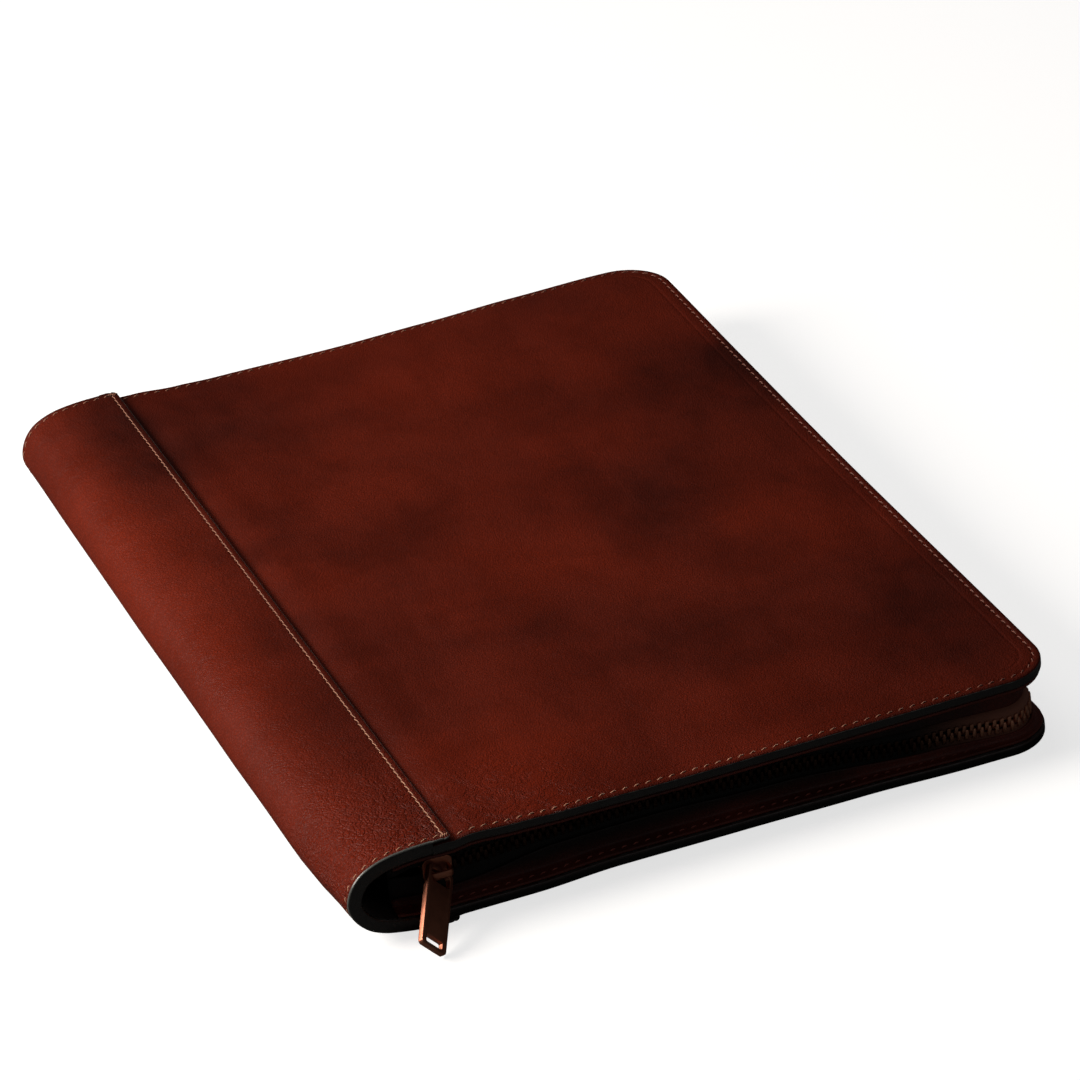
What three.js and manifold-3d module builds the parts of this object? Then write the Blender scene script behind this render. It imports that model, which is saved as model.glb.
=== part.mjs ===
// Leather document case for A4 sheets, zipped shut and lying on its back cover.
// Millimetres, +Z up. The origin is on the table under the middle of the covers; the spine is at -X,
// the zip runs round the near (-Y), right (+X) and far (+Y) sides and its slider stands near the spine.
import * as THREE from 'three';
import { mergeVertices } from 'three/addons/utils/BufferGeometryUtils.js';
import Module from 'manifold-3d';

const wasm = await Module();
wasm.setup();

// Driving sizes
const caseLength = 350;          // along the spine
const caseWidth = 250;           // from the spine to the open side
const spineDepth = 32;           // from the spine's outermost point to the covers' ends inside it
const caseHeight = 31.4;         // table to the top of the lap, near end
const farRise = 2;               // the spine stands this much higher at its far end
const coverThickness = 4;        // leather, board and lining together
const cornerRadius = 18;
const padRise = 0.9;             // how far the padding swells the middle of a cover
const padBorder = 7;             // flat stitched border before the padding swells
const padSlope = 34;             // width over which it swells
const seamSlope = 12;            // and beside the seam
const seamInset = 0.12;          // the covers' sections keep close to the seam, by this share of their inset
const edgeRounding = 0.7;        // worn round of the painted edges
const sidePullIn = 0.9;          // the open side bows in by this at its middle
const flatFrom = 0.29;           // the back cover lies flat on the table from this share of its width
const rimReach = 85;             // how far from the near and far sides the rims' waves die out

const spineStart = 1.7;          // the near end's outermost point stands this far inside -openSide
const spineWall = 5;             // spine leather, stiffener and lining together
const lapThickness = 1;          // skived leather over the covers
const lapCover = 6.4;            // how far the laps reach over the covers

const gap = 0.3;                 // kept between touching pieces
const gussetThickness = 1;
const gussetRim = 1.3;           // the gussets' flanges stand this far in from the covers' edges
const gussetBend = 1.6;          // bend from flange to wall
const bendMiddle = 0.3;          // where the bend's middle point stands, as a share of the bend
const upperWallInset = 7.3;      // the upper gusset's wall, from the covers' edges
const gussetShare = 0.42;        // share of the way from cover to teeth that is leather
const tapeThickness = 0.7;
const tapeLap = 1.6;             // tape sewn behind the leather
const tapeFlat = 2.4;            // tape beside the teeth, flat in their plane
const tapeFlatMost = 0.45;       // but no more than this share of the way to the leather
const tailReach = 14;            // the tapes run on into the spine by this much
const tailOpening = 2;           // the slit between them starts to close this far beyond the slider
const zipInset = 8;              // the teeth's plane, from the covers' edges
const chainWidth = 5.4;          // both rows of teeth, closed
const chainThickness = 2.2;

const sliderOffset = 2.2;        // the slider's middle, from the covers' ends
const sliderLength = 10;
const sliderWidth = 8.8;
const sliderPlate = 1.1;
const plateCorner = 1.6;
const plateBevel = 0.2;
const sliderPlay = 0.3;          // between the teeth and the slider's plates and rails
const railWidth = 1.1;
const railFromPost = 0.6;        // the rails start this far beyond the post
const railToEnd = 1.4;           // and stop this far inside the plates' end
const seat = 0.3;                // the slider's parts run into each other by this
const tapeSlot = 1.5;            // slit between the rails that the tape runs out through
const postLength = 2.4;          // post that joins the two plates and parts the teeth
const postWidth = 3.2;
const archLength = 8.4;
const archWidth = 2.4;
const archBar = 1.1;
const archClear = 3.2;           // between the outer plate and the arch's crown

const pullerLength = 28.5;       // from the pivot to the free end
const pullerWidth = 11.3;
const pullerThickness = 2;
const pullerBevel = 0.25;
const pullerBar = 1.6;           // the bar under the arch, in the puller's length
const eyeLength = 4;
const eyeWidth = 8.4;
const eyeCorner = 1.2;
const slotLength = 2.5;          // end slot, in the puller's length
const slotWidth = 7.4;
const slotEnd = 1.4;             // metal left beyond the slot
const slotCorner = 0.5;
const pullerCorner = 1.4;
const pullerHeading = -119;      // degrees, in plan, from +X
const pullerDip = 26.4;          // degrees below level
const pullerRoll = -57.2;        // degrees about its own length, so that it rests on one corner
const pullerLift = 17.3;         // height of the pivot

const stopLength = 3;
const stopThickness = 3;

// Number of segments
const lengthSteps = 12;
const cornerSteps = 8;
const spineStations = 8;
const spineSteps = 30;
const tailSteps = 5;
const leastStep = 0.5;           // no two sections of the teeth stand closer than this

// Places along the near and far sides where the covers and gussets have a section, as shares of the
// straight side; closer together by the spine, where the rims wave most.
const sideShares = [0, 0.03, 0.06, 0.1, 0.15, 0.21, 0.28, 0.36, 0.44, 0.52, 0.6, 0.68, 0.76, 0.84, 0.92];

// Rims of the covers across their width, from the spine to the open side: heights at the near side, in
// the middle and at the far side, as shares of caseHeight. Tops for the front cover, undersides for the
// back cover. The near rim of the back cover curls up off the table.
const frontRim = [
  { across: 0.0, near: 0.952, middle: 0.962, far: 0.99 },
  { across: 0.028, near: 0.955, middle: 0.966, far: 0.985 },
  { across: 0.06, near: 0.985, middle: 0.978, far: 0.982 },
  { across: 0.133, near: 0.958, middle: 0.955, far: 0.945 },
  { across: 0.2, near: 0.943, middle: 0.942, far: 0.928 },
  { across: 0.42, near: 0.927, middle: 0.93, far: 0.908 },
  { across: 0.58, near: 0.93, middle: 0.93, far: 0.925 },
  { across: 0.74, near: 0.933, middle: 0.932, far: 0.952 },
  { across: 0.88, near: 0.94, middle: 0.934, far: 0.965 },
  { across: 1.0, near: 0.935, middle: 0.932, far: 0.95 },
];
const backRim = [
  { across: 0.0, near: 0.043, middle: 0.043, far: 0.043 },
  { across: 0.045, near: 0.042, middle: 0.04, far: 0.04 },
  { across: 0.15, near: 0.04, middle: 0.008, far: 0.026 },
  { across: 0.28, near: 0.076, middle: 0.0, far: 0.032 },
  { across: 0.47, near: 0.067, middle: 0.0, far: 0.028 },
  { across: 0.67, near: 0.054, middle: 0.0, far: 0.02 },
  { across: 0.86, near: 0.019, middle: 0.0, far: 0.012 },
  { across: 1.0, near: 0.013, middle: 0.006, far: 0.01 },
];

// Outer face of the spine panel at its near end, from the edge of the top lap round to the edge of the
// bottom lap: out as a share of the way from its outermost point to the laps' edges, up as a share of
// caseHeight.
const spineProfile = [
  { out: 1.0, up: 0.992 },
  { out: 0.92, up: 1.0 },
  { out: 0.8, up: 0.997 },
  { out: 0.62, up: 0.99 },
  { out: 0.43, up: 0.965 },
  { out: 0.295, up: 0.924 },
  { out: 0.165, up: 0.85 },
  { out: 0.07, up: 0.739 },
  { out: 0.016, up: 0.605 },
  { out: 0.004, up: 0.478 },
  { out: 0.038, up: 0.357 },
  { out: 0.098, up: 0.252 },
  { out: 0.187, up: 0.159 },
  { out: 0.31, up: 0.092 },
  { out: 0.445, up: 0.054 },
  { out: 0.61, up: 0.022 },
  { out: 0.77, up: 0.0 },
  { out: 1.0, up: 0.0 },
];

// The zip's run from the slider's tail round to the far tail: height of the teeth as a share of
// caseHeight and inset as a share of zipInset. It sags and bulges out at the near right corner.
const zipRun = [
  { along: 0.0, height: 0.555, inset: 1.0 },
  { along: 0.032, height: 0.555, inset: 1.0 },
  { along: 0.07, height: 0.592, inset: 1.0 },
  { along: 0.11, height: 0.598, inset: 1.0 },
  { along: 0.165, height: 0.54, inset: 0.96 },
  { along: 0.235, height: 0.4, inset: 0.74 },
  { along: 0.272, height: 0.35, inset: 0.6 },
  { along: 0.3, height: 0.37, inset: 0.64 },
  { along: 0.38, height: 0.45, inset: 0.9 },
  { along: 0.5, height: 0.49, inset: 1.0 },
  { along: 0.7, height: 0.49, inset: 1.0 },
  { along: 0.92, height: 0.51, inset: 1.0 },
  { along: 1.0, height: 0.53, inset: 1.0 },
];

const openSide = caseWidth / 2;
const coverEnd = spineDepth - openSide;
const coverReach = openSide - coverEnd;
const halfLength = caseLength / 2;
const lapEdge = coverEnd + lapCover;
const zipTail = tailReach - coverEnd;
const sliderCentre = coverEnd + sliderOffset;

function material(color, roughness, metalness = 0) {
  return new THREE.MeshStandardMaterial({ color, roughness, metalness });
}
const leather = material(0x4b140d, 0.45);
const gussetLeather = material(0x3a1a14, 0.55);
const tapeCloth = material(0x14100f, 0.9);
const copper = material(0x9a6144, 0.35, 1);

// Small helpers
function ease(value) {
  const t = Math.min(Math.max(value, 0), 1);
  return t * t * (3 - 2 * t);
}

function readTable(table, key, at, column) {
  const last = table.length - 1;
  if (at <= table[0][key]) return table[0][column];
  if (at >= table[last][key]) return table[last][column];
  const row = table.findIndex((entry) => entry[key] > at) - 1;
  const share = (at - table[row][key]) / (table[row + 1][key] - table[row][key]);
  return THREE.MathUtils.lerp(table[row][column], table[row + 1][column], ease(share));
}

function geometryOf(positions, triangles) {
  const geometry = new THREE.BufferGeometry();
  geometry.setAttribute('position', new THREE.Float32BufferAttribute(positions.flat(), 3));
  geometry.setIndex(triangles.flat());
  return geometry;
}

// Closed solid through a stack of rings of equal count; the first and last are closed by a fan round
// the two middle points.
function stackSolid(rings, middles) {
  const count = rings[0].length;
  const positions = rings.flat();
  const triangles = [];
  for (let ring = 0; ring + 1 < rings.length; ring++) {
    for (let i = 0; i < count; i++) {
      const a = ring * count + i;
      const b = ring * count + ((i + 1) % count);
      triangles.push([a, b, b + count], [a, b + count, a + count]);
    }
  }
  for (const [ring, turn] of [[0, true], [rings.length - 1, false]]) {
    const middle = positions.push(middles[turn ? 0 : 1]) - 1;
    for (let i = 0; i < count; i++) {
      const a = ring * count + i;
      const b = ring * count + ((i + 1) % count);
      triangles.push(turn ? [middle, b, a] : [middle, a, b]);
    }
  }
  return geometryOf(positions, orient(positions, triangles));
}

// Closed solid through stations of one outline, each station with its flat outline and its place in
// space; the two ends are closed by triangulating the flat outlines.
function loftSolid(stations) {
  const count = stations[0].flat.length;
  const positions = stations.flatMap((station) => station.flat.map(station.place));
  const triangles = [];
  for (let s = 0; s + 1 < stations.length; s++) {
    for (let i = 0; i < count; i++) {
      const a = s * count + i;
      const b = s * count + ((i + 1) % count);
      triangles.push([a, b, b + count], [a, b + count, a + count]);
    }
  }
  const ends = [[0, true], [stations.length - 1, false]];
  for (const [s, clockwise] of ends) {
    const outline = stations[s].flat.map(([x, y]) => new THREE.Vector2(x, y));
    for (const [a, b, c] of THREE.ShapeUtils.triangulateShape(outline, [])) {
      const face = [a, b, c].map((i) => s * count + i);
      const outward = THREE.ShapeUtils.isClockWise(outline) === clockwise;
      triangles.push(outward ? face : face.reverse());
    }
  }
  return geometryOf(positions, orient(positions, triangles));
}

// Turns every face round if the solid's volume comes out negative.
function orient(positions, triangles) {
  let volume = 0;
  for (const [a, b, c] of triangles) {
    const [p, q, r] = [a, b, c].map((i) => new THREE.Vector3(...positions[i]));
    volume += p.dot(q.cross(r));
  }
  return volume < 0 ? triangles.map((face) => [...face].reverse()) : triangles;
}

function solidOf(geometry) {
  const bare = geometry.clone();
  bare.deleteAttribute('normal');
  bare.deleteAttribute('uv');
  const merged = mergeVertices(bare, 1e-4);
  return new wasm.Manifold(new wasm.Mesh({
    numProp: 3,
    vertProperties: new Float32Array(merged.attributes.position.array),
    triVerts: new Uint32Array(merged.index.array),
  }));
}

function geometryOfSolid(solid) {
  const mesh = solid.getMesh();
  const geometry = new THREE.BufferGeometry();
  geometry.setAttribute('position', new THREE.BufferAttribute(mesh.vertProperties, 3));
  geometry.setIndex(new THREE.BufferAttribute(mesh.triVerts, 1));
  return geometry;
}

function joined(geometries) {
  return geometryOfSolid(geometries.map(solidOf).reduce((sum, solid) => sum.add(solid)));
}

function boxAt(sizeX, sizeY, sizeZ, x, y, z) {
  return new THREE.BoxGeometry(sizeX, sizeY, sizeZ).translate(x, y, z);
}

const group = new THREE.Group();
function addNode(name, geometry, finish) {
  const mesh = new THREE.Mesh(geometry, finish);
  mesh.name = name;
  group.add(mesh);
  return mesh;
}

// Height of a cover's rim surface at any point of the plan
function rimHeight(table, x, y) {
  const across = (x - coverEnd) / coverReach;
  const near = ease(1 - (y + halfLength) / rimReach);
  const far = ease(1 - (halfLength - y) / rimReach);
  const middle = readTable(table, 'across', across, 'middle');
  const nearPart = near * (readTable(table, 'across', across, 'near') - middle);
  const farPart = far * (readTable(table, 'across', across, 'far') - middle);
  return caseHeight * (middle + nearPart + farPart);
}

// Under the laps the covers keep clear of them
function frontTop(x, y) {
  const height = rimHeight(frontRim, x, y);
  return x > lapEdge ? height : Math.min(height, heightOn(lapHalves(y).upper, x) - gap);
}

function backUnder(x, y) {
  const height = rimHeight(backRim, x, y);
  return x > lapEdge ? height : Math.max(height, heightOn(lapHalves(y).lower, x) + gap);
}

// Outline of a cover, inset by a distance: near side, corner, open side, corner, far side, spine side
function pullIn(y) {
  return sidePullIn * ease(1 - Math.abs(y) / (halfLength - cornerRadius));
}

function coverOutline(inset) {
  const radius = Math.max(cornerRadius - inset, 0);
  const left = coverEnd + seamInset * inset;
  const right = openSide - inset;
  const half = halfLength - inset;
  const points = [];
  const even = Array.from({ length: lengthSteps }, (_, i) => i / lengthSteps);
  const along = (from, to, shares) => {
    for (const share of shares) {
      points.push([0, 1].map((axis) => THREE.MathUtils.lerp(from[axis], to[axis], share)));
    }
  };
  const round = (x, y, startAngle) => {
    for (let i = 0; i < cornerSteps; i++) {
      const angle = startAngle + (Math.PI / 2) * (i / cornerSteps);
      points.push([x + radius * Math.cos(angle), y + radius * Math.sin(angle)]);
    }
  };
  const backShares = [0, ...sideShares.slice(1).map((share) => 1 - share).reverse()];
  along([left, -half], [right - radius, -half], sideShares);
  round(right - radius, -half + radius, -Math.PI / 2);
  along([right, -half + radius], [right, half - radius], even);
  round(right - radius, half - radius, 0);
  along([right - radius, half], [left, half], backShares);
  along([left, half], [left, -half], even);
  return points.map(([x, y]) => {
    const share = ease((x - coverEnd) / coverReach);
    return [x - share * pullIn(y), y];
  });
}

// A cover: outer face padded, inner face flat, edges rounded a little. Outward is 1 for the front
// cover, whose padding swells up, and -1 for the back cover, which the table keeps flat.
const outerInsets = [80, 42, 20, padBorder, edgeRounding];
const innerInsets = [edgeRounding, 11, 40, 80];
function coverSolid(surface, outward, pad) {
  const ring = (inset, height) => coverOutline(inset).map(([x, y]) => [x, y, height(x, y, inset)]);
  const swell = (x, inset) => pad * ease((inset - padBorder) / padSlope) * ease((x - lapEdge) / seamSlope);
  const outer = (x, y, inset) => surface(x, y) + outward * swell(x, inset);
  const inner = (x, y) => surface(x, y) - outward * coverThickness;
  const rings = [
    ...outerInsets.map((inset) => ring(inset, outer)),
    ring(0, (x, y) => surface(x, y) - outward * edgeRounding),
    ring(0, (x, y) => inner(x, y) + outward * edgeRounding),
    ...innerInsets.map((inset) => ring(inset, inner)),
  ];
  const middleX = coverEnd + flatFrom * coverReach;
  return stackSolid(rings, [outer, inner].map((height) => [middleX, 0, height(middleX, 0, outerInsets[0])]));
}

// Spine panel: its outer face is a smooth curve through the profile's points. At a share of the way
// along the spine the top stands higher by that share of farRise.
function spineOuter(share) {
  const outermost = -openSide + spineStart * (1 - share);
  const points = spineProfile.map(({ out, up }) => new THREE.Vector2(
    THREE.MathUtils.lerp(outermost, lapEdge, out),
    caseHeight * up + farRise * share * ease(up),
  ));
  return new THREE.SplineCurve(points).getPoints(spineSteps);
}

function offsetLine(points, distance) {
  return points.map((point, i) => {
    const before = points[Math.max(i - 1, 0)];
    const after = points[Math.min(i + 1, points.length - 1)];
    const run = after.clone().sub(before).normalize();
    return new THREE.Vector2(point.x - run.y * distance, point.y + run.x * distance);
  });
}

// Height of a line at a place across the case; past its ends, the height of the nearest end point
function heightOn(points, x) {
  for (let i = 0; i + 1 < points.length; i++) {
    const [a, b] = [points[i], points[i + 1]];
    if ((a.x - x) * (b.x - x) <= 0 && a.x !== b.x) {
      return THREE.MathUtils.lerp(a.y, b.y, (x - a.x) / (b.x - a.x));
    }
  }
  const [first, last] = [points[0], points[points.length - 1]];
  return Math.abs(first.x - x) < Math.abs(last.x - x) ? first.y : last.y;
}

// Splits a line round the spine into its upper and lower halves at its outermost point
function halves(points) {
  const turn = points.reduce((best, p, i) => (p.x < points[best].x ? i : best), 0);
  return { upper: points.slice(0, turn + 1), lower: points.slice(turn) };
}

// Lines inside the spine panel at some depth from its outer face
const shareAt = (y) => (y + halfLength) / caseLength;
const lapHalves = (y) => halves(offsetLine(spineOuter(shareAt(y)), lapThickness));
const wallHalves = (y) => halves(offsetLine(spineOuter(shareAt(y)), spineWall));

// Section: the outer face, the bottom lap's step, the inner face back up and the top lap's step
function spineOutline(y) {
  const outer = spineOuter(shareAt(y));
  const lap = lapHalves(y);
  const wall = wallHalves(y);
  const step = coverEnd - gap;
  const inner = offsetLine(outer, spineWall).filter((p) => p.x < step);
  return [
    ...outer.map((p) => [p.x, p.y]),
    [lapEdge, heightOn(lap.lower, lapEdge)],
    [step, heightOn(lap.lower, step)],
    [step, heightOn(wall.lower, step)],
    ...inner.map((p) => [p.x, p.y]).reverse(),
    [step, heightOn(wall.upper, step)],
    [step, heightOn(lap.upper, step)],
    [lapEdge, heightOn(lap.upper, lapEdge)],
  ];
}

const spineGeometry = loftSolid(Array.from({ length: spineStations + 1 }, (_, i) => {
  const y = -halfLength + (i / spineStations) * caseLength;
  return { flat: spineOutline(y), place: ([x, z]) => [x, y, z] };
}));
addNode('spine_panel', spineGeometry, leather);
addNode('front_cover', coverSolid(frontTop, 1, padRise), leather);
addNode('back_cover', coverSolid(backUnder, -1, 0), leather);

// Run of the zip and gussets round the three open sides. Each stop has its point on the covers' edge,
// its outward direction and its share of the way.
function edgeRun() {
  const cornerX = openSide - cornerRadius;
  const cornerY = halfLength - cornerRadius;
  const straight = cornerX + zipTail;
  const side = 2 * cornerY;
  const arc = (Math.PI / 2) * cornerRadius;
  const total = 2 * straight + 2 * arc + side;
  const stops = [];
  const add = (distance, x, y, outX, outY) => stops.push({ along: distance / total, x, y, outX, outY });
  const corner = (start, y, startAngle) => {
    for (let i = 0; i < cornerSteps; i++) {
      const angle = startAngle + (Math.PI / 2) * (i / cornerSteps);
      const [c, s] = [Math.cos(angle), Math.sin(angle)];
      add(start + (arc * i) / cornerSteps, cornerX + cornerRadius * c, y + cornerRadius * s, c, s);
    }
  };
  for (const x of sideStops(cornerX)) add(x + zipTail, x, -halfLength, 0, -1);
  corner(straight, -cornerY, -Math.PI / 2);
  for (let i = 0; i < lengthSteps; i++) {
    const y = THREE.MathUtils.lerp(-cornerY, cornerY, i / lengthSteps);
    add(straight + arc + cornerY + y, openSide - pullIn(y), y, 1, 0);
  }
  corner(straight + arc + side, cornerY, 0);
  for (const x of [...sideStops(cornerX), cornerX].reverse()) add(total - zipTail - x, x, halfLength, 0, 1);
  return stops;
}

// Stops along a straight side: the tapes' tail inside the spine, then the covers' own sections
function sideStops(cornerX) {
  const tail = Array.from({ length: tailSteps }, (_, i) => (
    THREE.MathUtils.lerp(-zipTail, coverEnd, i / tailSteps)
  ));
  return [...tail, ...sideShares.map((share) => THREE.MathUtils.lerp(coverEnd, cornerX, share))];
}

// The space between the covers at a stop: the faces that the gussets lie on and the teeth's place
const run = edgeRun();
function zipPlace(stop) {
  const floorX = Math.max(stop.x, coverEnd);
  let floor = backUnder(floorX, stop.y) + coverThickness;
  let roof = frontTop(floorX, stop.y) - coverThickness;
  if (stop.x <= coverEnd) {
    const wall = wallHalves(stop.y);
    const wallX = Math.min(stop.x, coverEnd - gap);
    floor = Math.max(stop.x < coverEnd ? 0 : floor, heightOn(wall.lower, wallX));
    roof = Math.min(stop.x < coverEnd ? caseHeight : roof, heightOn(wall.upper, wallX));
  }
  return {
    floor: floor + gap,
    roof: roof - gap,
    height: caseHeight * readTable(zipRun, 'along', stop.along, 'height'),
    inset: zipInset * readTable(zipRun, 'along', stop.along, 'inset'),
  };
}

// Flat outline of a strip of some thickness along a centre line, in inset and height
function stripOutline(line, thickness) {
  const centre = line.map(([inset, height]) => new THREE.Vector2(inset, height));
  const one = offsetLine(centre, thickness / 2);
  const other = offsetLine(centre, -thickness / 2);
  return [...one, ...other.reverse()].map((p) => [p.x, p.y]);
}

function stripSolid(lineAt, thickness, stops = run) {
  return loftSolid(stops.map((stop) => ({
    flat: stripOutline(lineAt(stop), thickness),
    place: ([inset, height]) => [stop.x - stop.outX * inset, stop.y - stop.outY * inset, height],
  })));
}

// Half the space between the two tapes: the teeth's width, closing up at the tapes' tails
const tapeEdge = chainWidth / 2 + gap;
function halfSlit(stop) {
  const tail = Math.abs(sliderCentre) + sliderLength / 2 + tailOpening;
  const open = stop.x < -tail ? ease((zipTail + stop.x) / (zipTail - tail)) : 1;
  return THREE.MathUtils.lerp(gap, tapeEdge, open);
}

// One gusset: flange on the cover, bend, and wall toward the zip. The side is -1 below and 1 above.
function gussetLine(stop, side) {
  const place = zipPlace(stop);
  const face = side < 0 ? place.floor : place.roof;
  const level = face - (side * gussetThickness) / 2;
  const wall = side < 0 ? place.inset - gussetThickness - gap : upperWallInset - gussetThickness / 2;
  const way = Math.abs(place.height - face) - chainWidth / 2;
  const top = Math.max(gussetShare * way, gussetBend + gussetThickness / 2 + gap);
  const middle = bendMiddle * gussetBend;
  return [
    [gussetRim, level],
    [wall - gussetBend, level],
    [wall - middle, level - side * middle],
    [wall, level - side * gussetBend],
    [wall, face - side * top],
  ];
}

// One tape: behind the leather wall, then over to the teeth's plane and flat up to their edge
function tapeLine(stop, side) {
  const place = zipPlace(stop);
  const leatherLine = gussetLine(stop, side);
  const [wall, top] = leatherLine[leatherLine.length - 1];
  const behind = wall + gussetThickness / 2 + tapeThickness / 2 + gap;
  const edge = place.height + side * halfSlit(stop);
  const flat = Math.min(tapeFlat, tapeFlatMost * Math.abs(top - edge));
  return [
    [behind, top + side * tapeLap],
    [behind, top],
    [place.inset, edge + side * flat],
    [place.inset, edge],
  ];
}

addNode('lower_gusset', stripSolid((stop) => gussetLine(stop, -1), gussetThickness), gussetLeather);
addNode('upper_gusset', stripSolid((stop) => gussetLine(stop, 1), gussetThickness), gussetLeather);
addNode('zip_tape_lower', stripSolid((stop) => tapeLine(stop, -1), tapeThickness), tapeCloth);
addNode('zip_tape_upper', stripSolid((stop) => tapeLine(stop, 1), tapeThickness), tapeCloth);

// Closed teeth, one plain bar from inside the slider round to the bottom stop
const postEnd = sliderCentre - sliderLength / 2 + postLength;
const chainEnd = sliderCentre - sliderLength / 2;
const alongPerLength = run[1].along / (run[1].x - run[0].x);
const chainStart = { ...run[0], x: postEnd + gap, along: (zipTail + postEnd + gap) * alongPerLength };
const chainStops = [
  chainStart,
  ...run.filter((stop) => stop.x > (stop.y < 0 ? postEnd + gap + leastStep : chainEnd)),
];
const chainGeometry = loftSolid(chainStops.map((stop) => {
  const { height, inset } = zipPlace(stop);
  const [halfWide, halfThick] = [chainWidth / 2, chainThickness / 2];
  return {
    flat: [
      [inset - halfThick, height - halfWide],
      [inset + halfThick, height - halfWide],
      [inset + halfThick, height + halfWide],
      [inset - halfThick, height + halfWide],
    ],
    place: ([d, z]) => [stop.x - stop.outX * d, stop.y - stop.outY * d, z],
  };
}));
addNode('zip_chain', chainGeometry, copper);

// Bottom stop at the far end of the teeth
const lastStop = chainStops[chainStops.length - 1];
const lastPlace = zipPlace(lastStop);
const stopCentre = lastStop.x - gap - stopLength / 2;
addNode('zip_bottom_stop', boxAt(
  stopLength, stopThickness, chainWidth,
  stopCentre, lastStop.y - lastStop.outY * lastPlace.inset, lastPlace.height,
), copper);

// Slider: two plates joined by a post, rails that hold the teeth and leave a slit for the tapes, and
// the arch that the puller hangs on. Built round the teeth's centre, y outward negative.
const sliderStop = zipPlace(run[1]);
const sliderY = -halfLength + sliderStop.inset;
const channel = chainThickness / 2 + sliderPlay;
function plateGeometry(y) {
  const shape = new THREE.Shape();
  const [x, z, round] = [sliderLength / 2, sliderWidth / 2, plateCorner];
  shape.moveTo(-x + round, -z);
  shape.lineTo(x - round, -z);
  shape.absarc(x - round, -z + round, round, -Math.PI / 2, 0);
  shape.absarc(x - round, z - round, round, 0, Math.PI / 2);
  shape.absarc(-x + round, z - round, round, Math.PI / 2, Math.PI);
  shape.absarc(-x + round, -z + round, round, Math.PI, 1.5 * Math.PI);
  const plate = new THREE.ExtrudeGeometry(shape, {
    depth: sliderPlate - 2 * plateBevel, bevelThickness: plateBevel, bevelSize: plateBevel,
    bevelOffset: -plateBevel, bevelSegments: 1, curveSegments: 4,
  });
  return plate.translate(0, 0, plateBevel - sliderPlate / 2).rotateX(Math.PI / 2).translate(0, y, 0);
}

function railGeometry(y, side) {
  const depth = channel - tapeSlot / 2 + seat;
  const [start, end] = [postLength + railFromPost - sliderLength / 2, sliderLength / 2 - railToEnd];
  const centreY = y + (depth / 2) * -Math.sign(y);
  const z = side * (chainWidth / 2 + sliderPlay + railWidth / 2);
  return boxAt(end - start, depth, railWidth, (start + end) / 2, centreY, z);
}

function archGeometry() {
  const face = -channel - sliderPlate;
  const crown = face - archClear;
  const shape = new THREE.Shape();
  const [half, inside] = [archLength / 2, archLength / 2 - archBar];
  shape.moveTo(-half, face + seat);
  shape.lineTo(-half, crown);
  shape.quadraticCurveTo(-half, crown - archBar, -half + archBar, crown - archBar);
  shape.lineTo(half - archBar, crown - archBar);
  shape.quadraticCurveTo(half, crown - archBar, half, crown);
  shape.lineTo(half, face + seat);
  shape.lineTo(inside, face + seat);
  shape.lineTo(inside, crown);
  shape.lineTo(-inside, crown);
  shape.lineTo(-inside, face + seat);
  const arch = new THREE.ExtrudeGeometry(shape, { depth: archWidth, bevelEnabled: false, curveSegments: 3 });
  return arch.translate(0, 0, -archWidth / 2);
}

const plateCentre = channel + sliderPlate / 2;
const sliderGeometry = joined([
  plateGeometry(-plateCentre),
  plateGeometry(plateCentre),
  boxAt(postLength, 2 * (channel + seat), postWidth, (postLength - sliderLength) / 2, 0, 0),
  ...[-1, 1].flatMap((side) => [-1, 1].map((face) => railGeometry(face * (channel + seat), side))),
  archGeometry(),
]);
const slider = addNode('zip_slider', sliderGeometry, copper);
slider.position.set(sliderCentre, sliderY, sliderStop.height);

// Puller: flat tab with the eye that holds its bar under the arch and a slot by its free end. In its
// own frame the length is +X from the pivot, the width is Y and the thickness is Z.
function slotPath(fromX, toX, width, round) {
  const path = new THREE.Path();
  const half = width / 2;
  path.moveTo(fromX + round, -half);
  path.lineTo(toX - round, -half);
  path.absarc(toX - round, -half + round, round, -Math.PI / 2, 0);
  path.absarc(toX - round, half - round, round, 0, Math.PI / 2);
  path.absarc(fromX + round, half - round, round, Math.PI / 2, Math.PI);
  path.absarc(fromX + round, -half + round, round, Math.PI, 1.5 * Math.PI);
  return path;
}

function pullerGeometry() {
  const shape = new THREE.Shape(slotPath(-pullerBar / 2, pullerLength, pullerWidth, pullerCorner).getPoints(4));
  const eye = slotPath(pullerBar / 2, pullerBar / 2 + eyeLength, eyeWidth, eyeCorner);
  const slotTo = pullerLength - slotEnd;
  const slot = slotPath(slotTo - slotLength, slotTo, slotWidth, slotCorner);
  shape.holes.push(new THREE.Path(eye.getPoints(3)), new THREE.Path(slot.getPoints(3)));
  const tab = new THREE.ExtrudeGeometry(shape, {
    depth: pullerThickness - 2 * pullerBevel, bevelThickness: pullerBevel, bevelSize: pullerBevel,
    bevelOffset: -pullerBevel, bevelSegments: 1, curveSegments: 4,
  });
  return tab.translate(0, 0, pullerBevel - pullerThickness / 2);
}

const puller = addNode('zip_puller', pullerGeometry(), copper);
const pivotY = sliderY - channel - sliderPlate - archClear / 2;
puller.position.set(sliderCentre, pivotY, pullerLift);
puller.rotation.order = 'ZYX';
puller.rotation.set(
  THREE.MathUtils.degToRad(pullerRoll),
  THREE.MathUtils.degToRad(pullerDip),
  THREE.MathUtils.degToRad(pullerHeading),
);

export default group;
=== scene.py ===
import math

import bmesh
import bpy
import numpy as np
from mathutils import Matrix, Vector, noise


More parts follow.
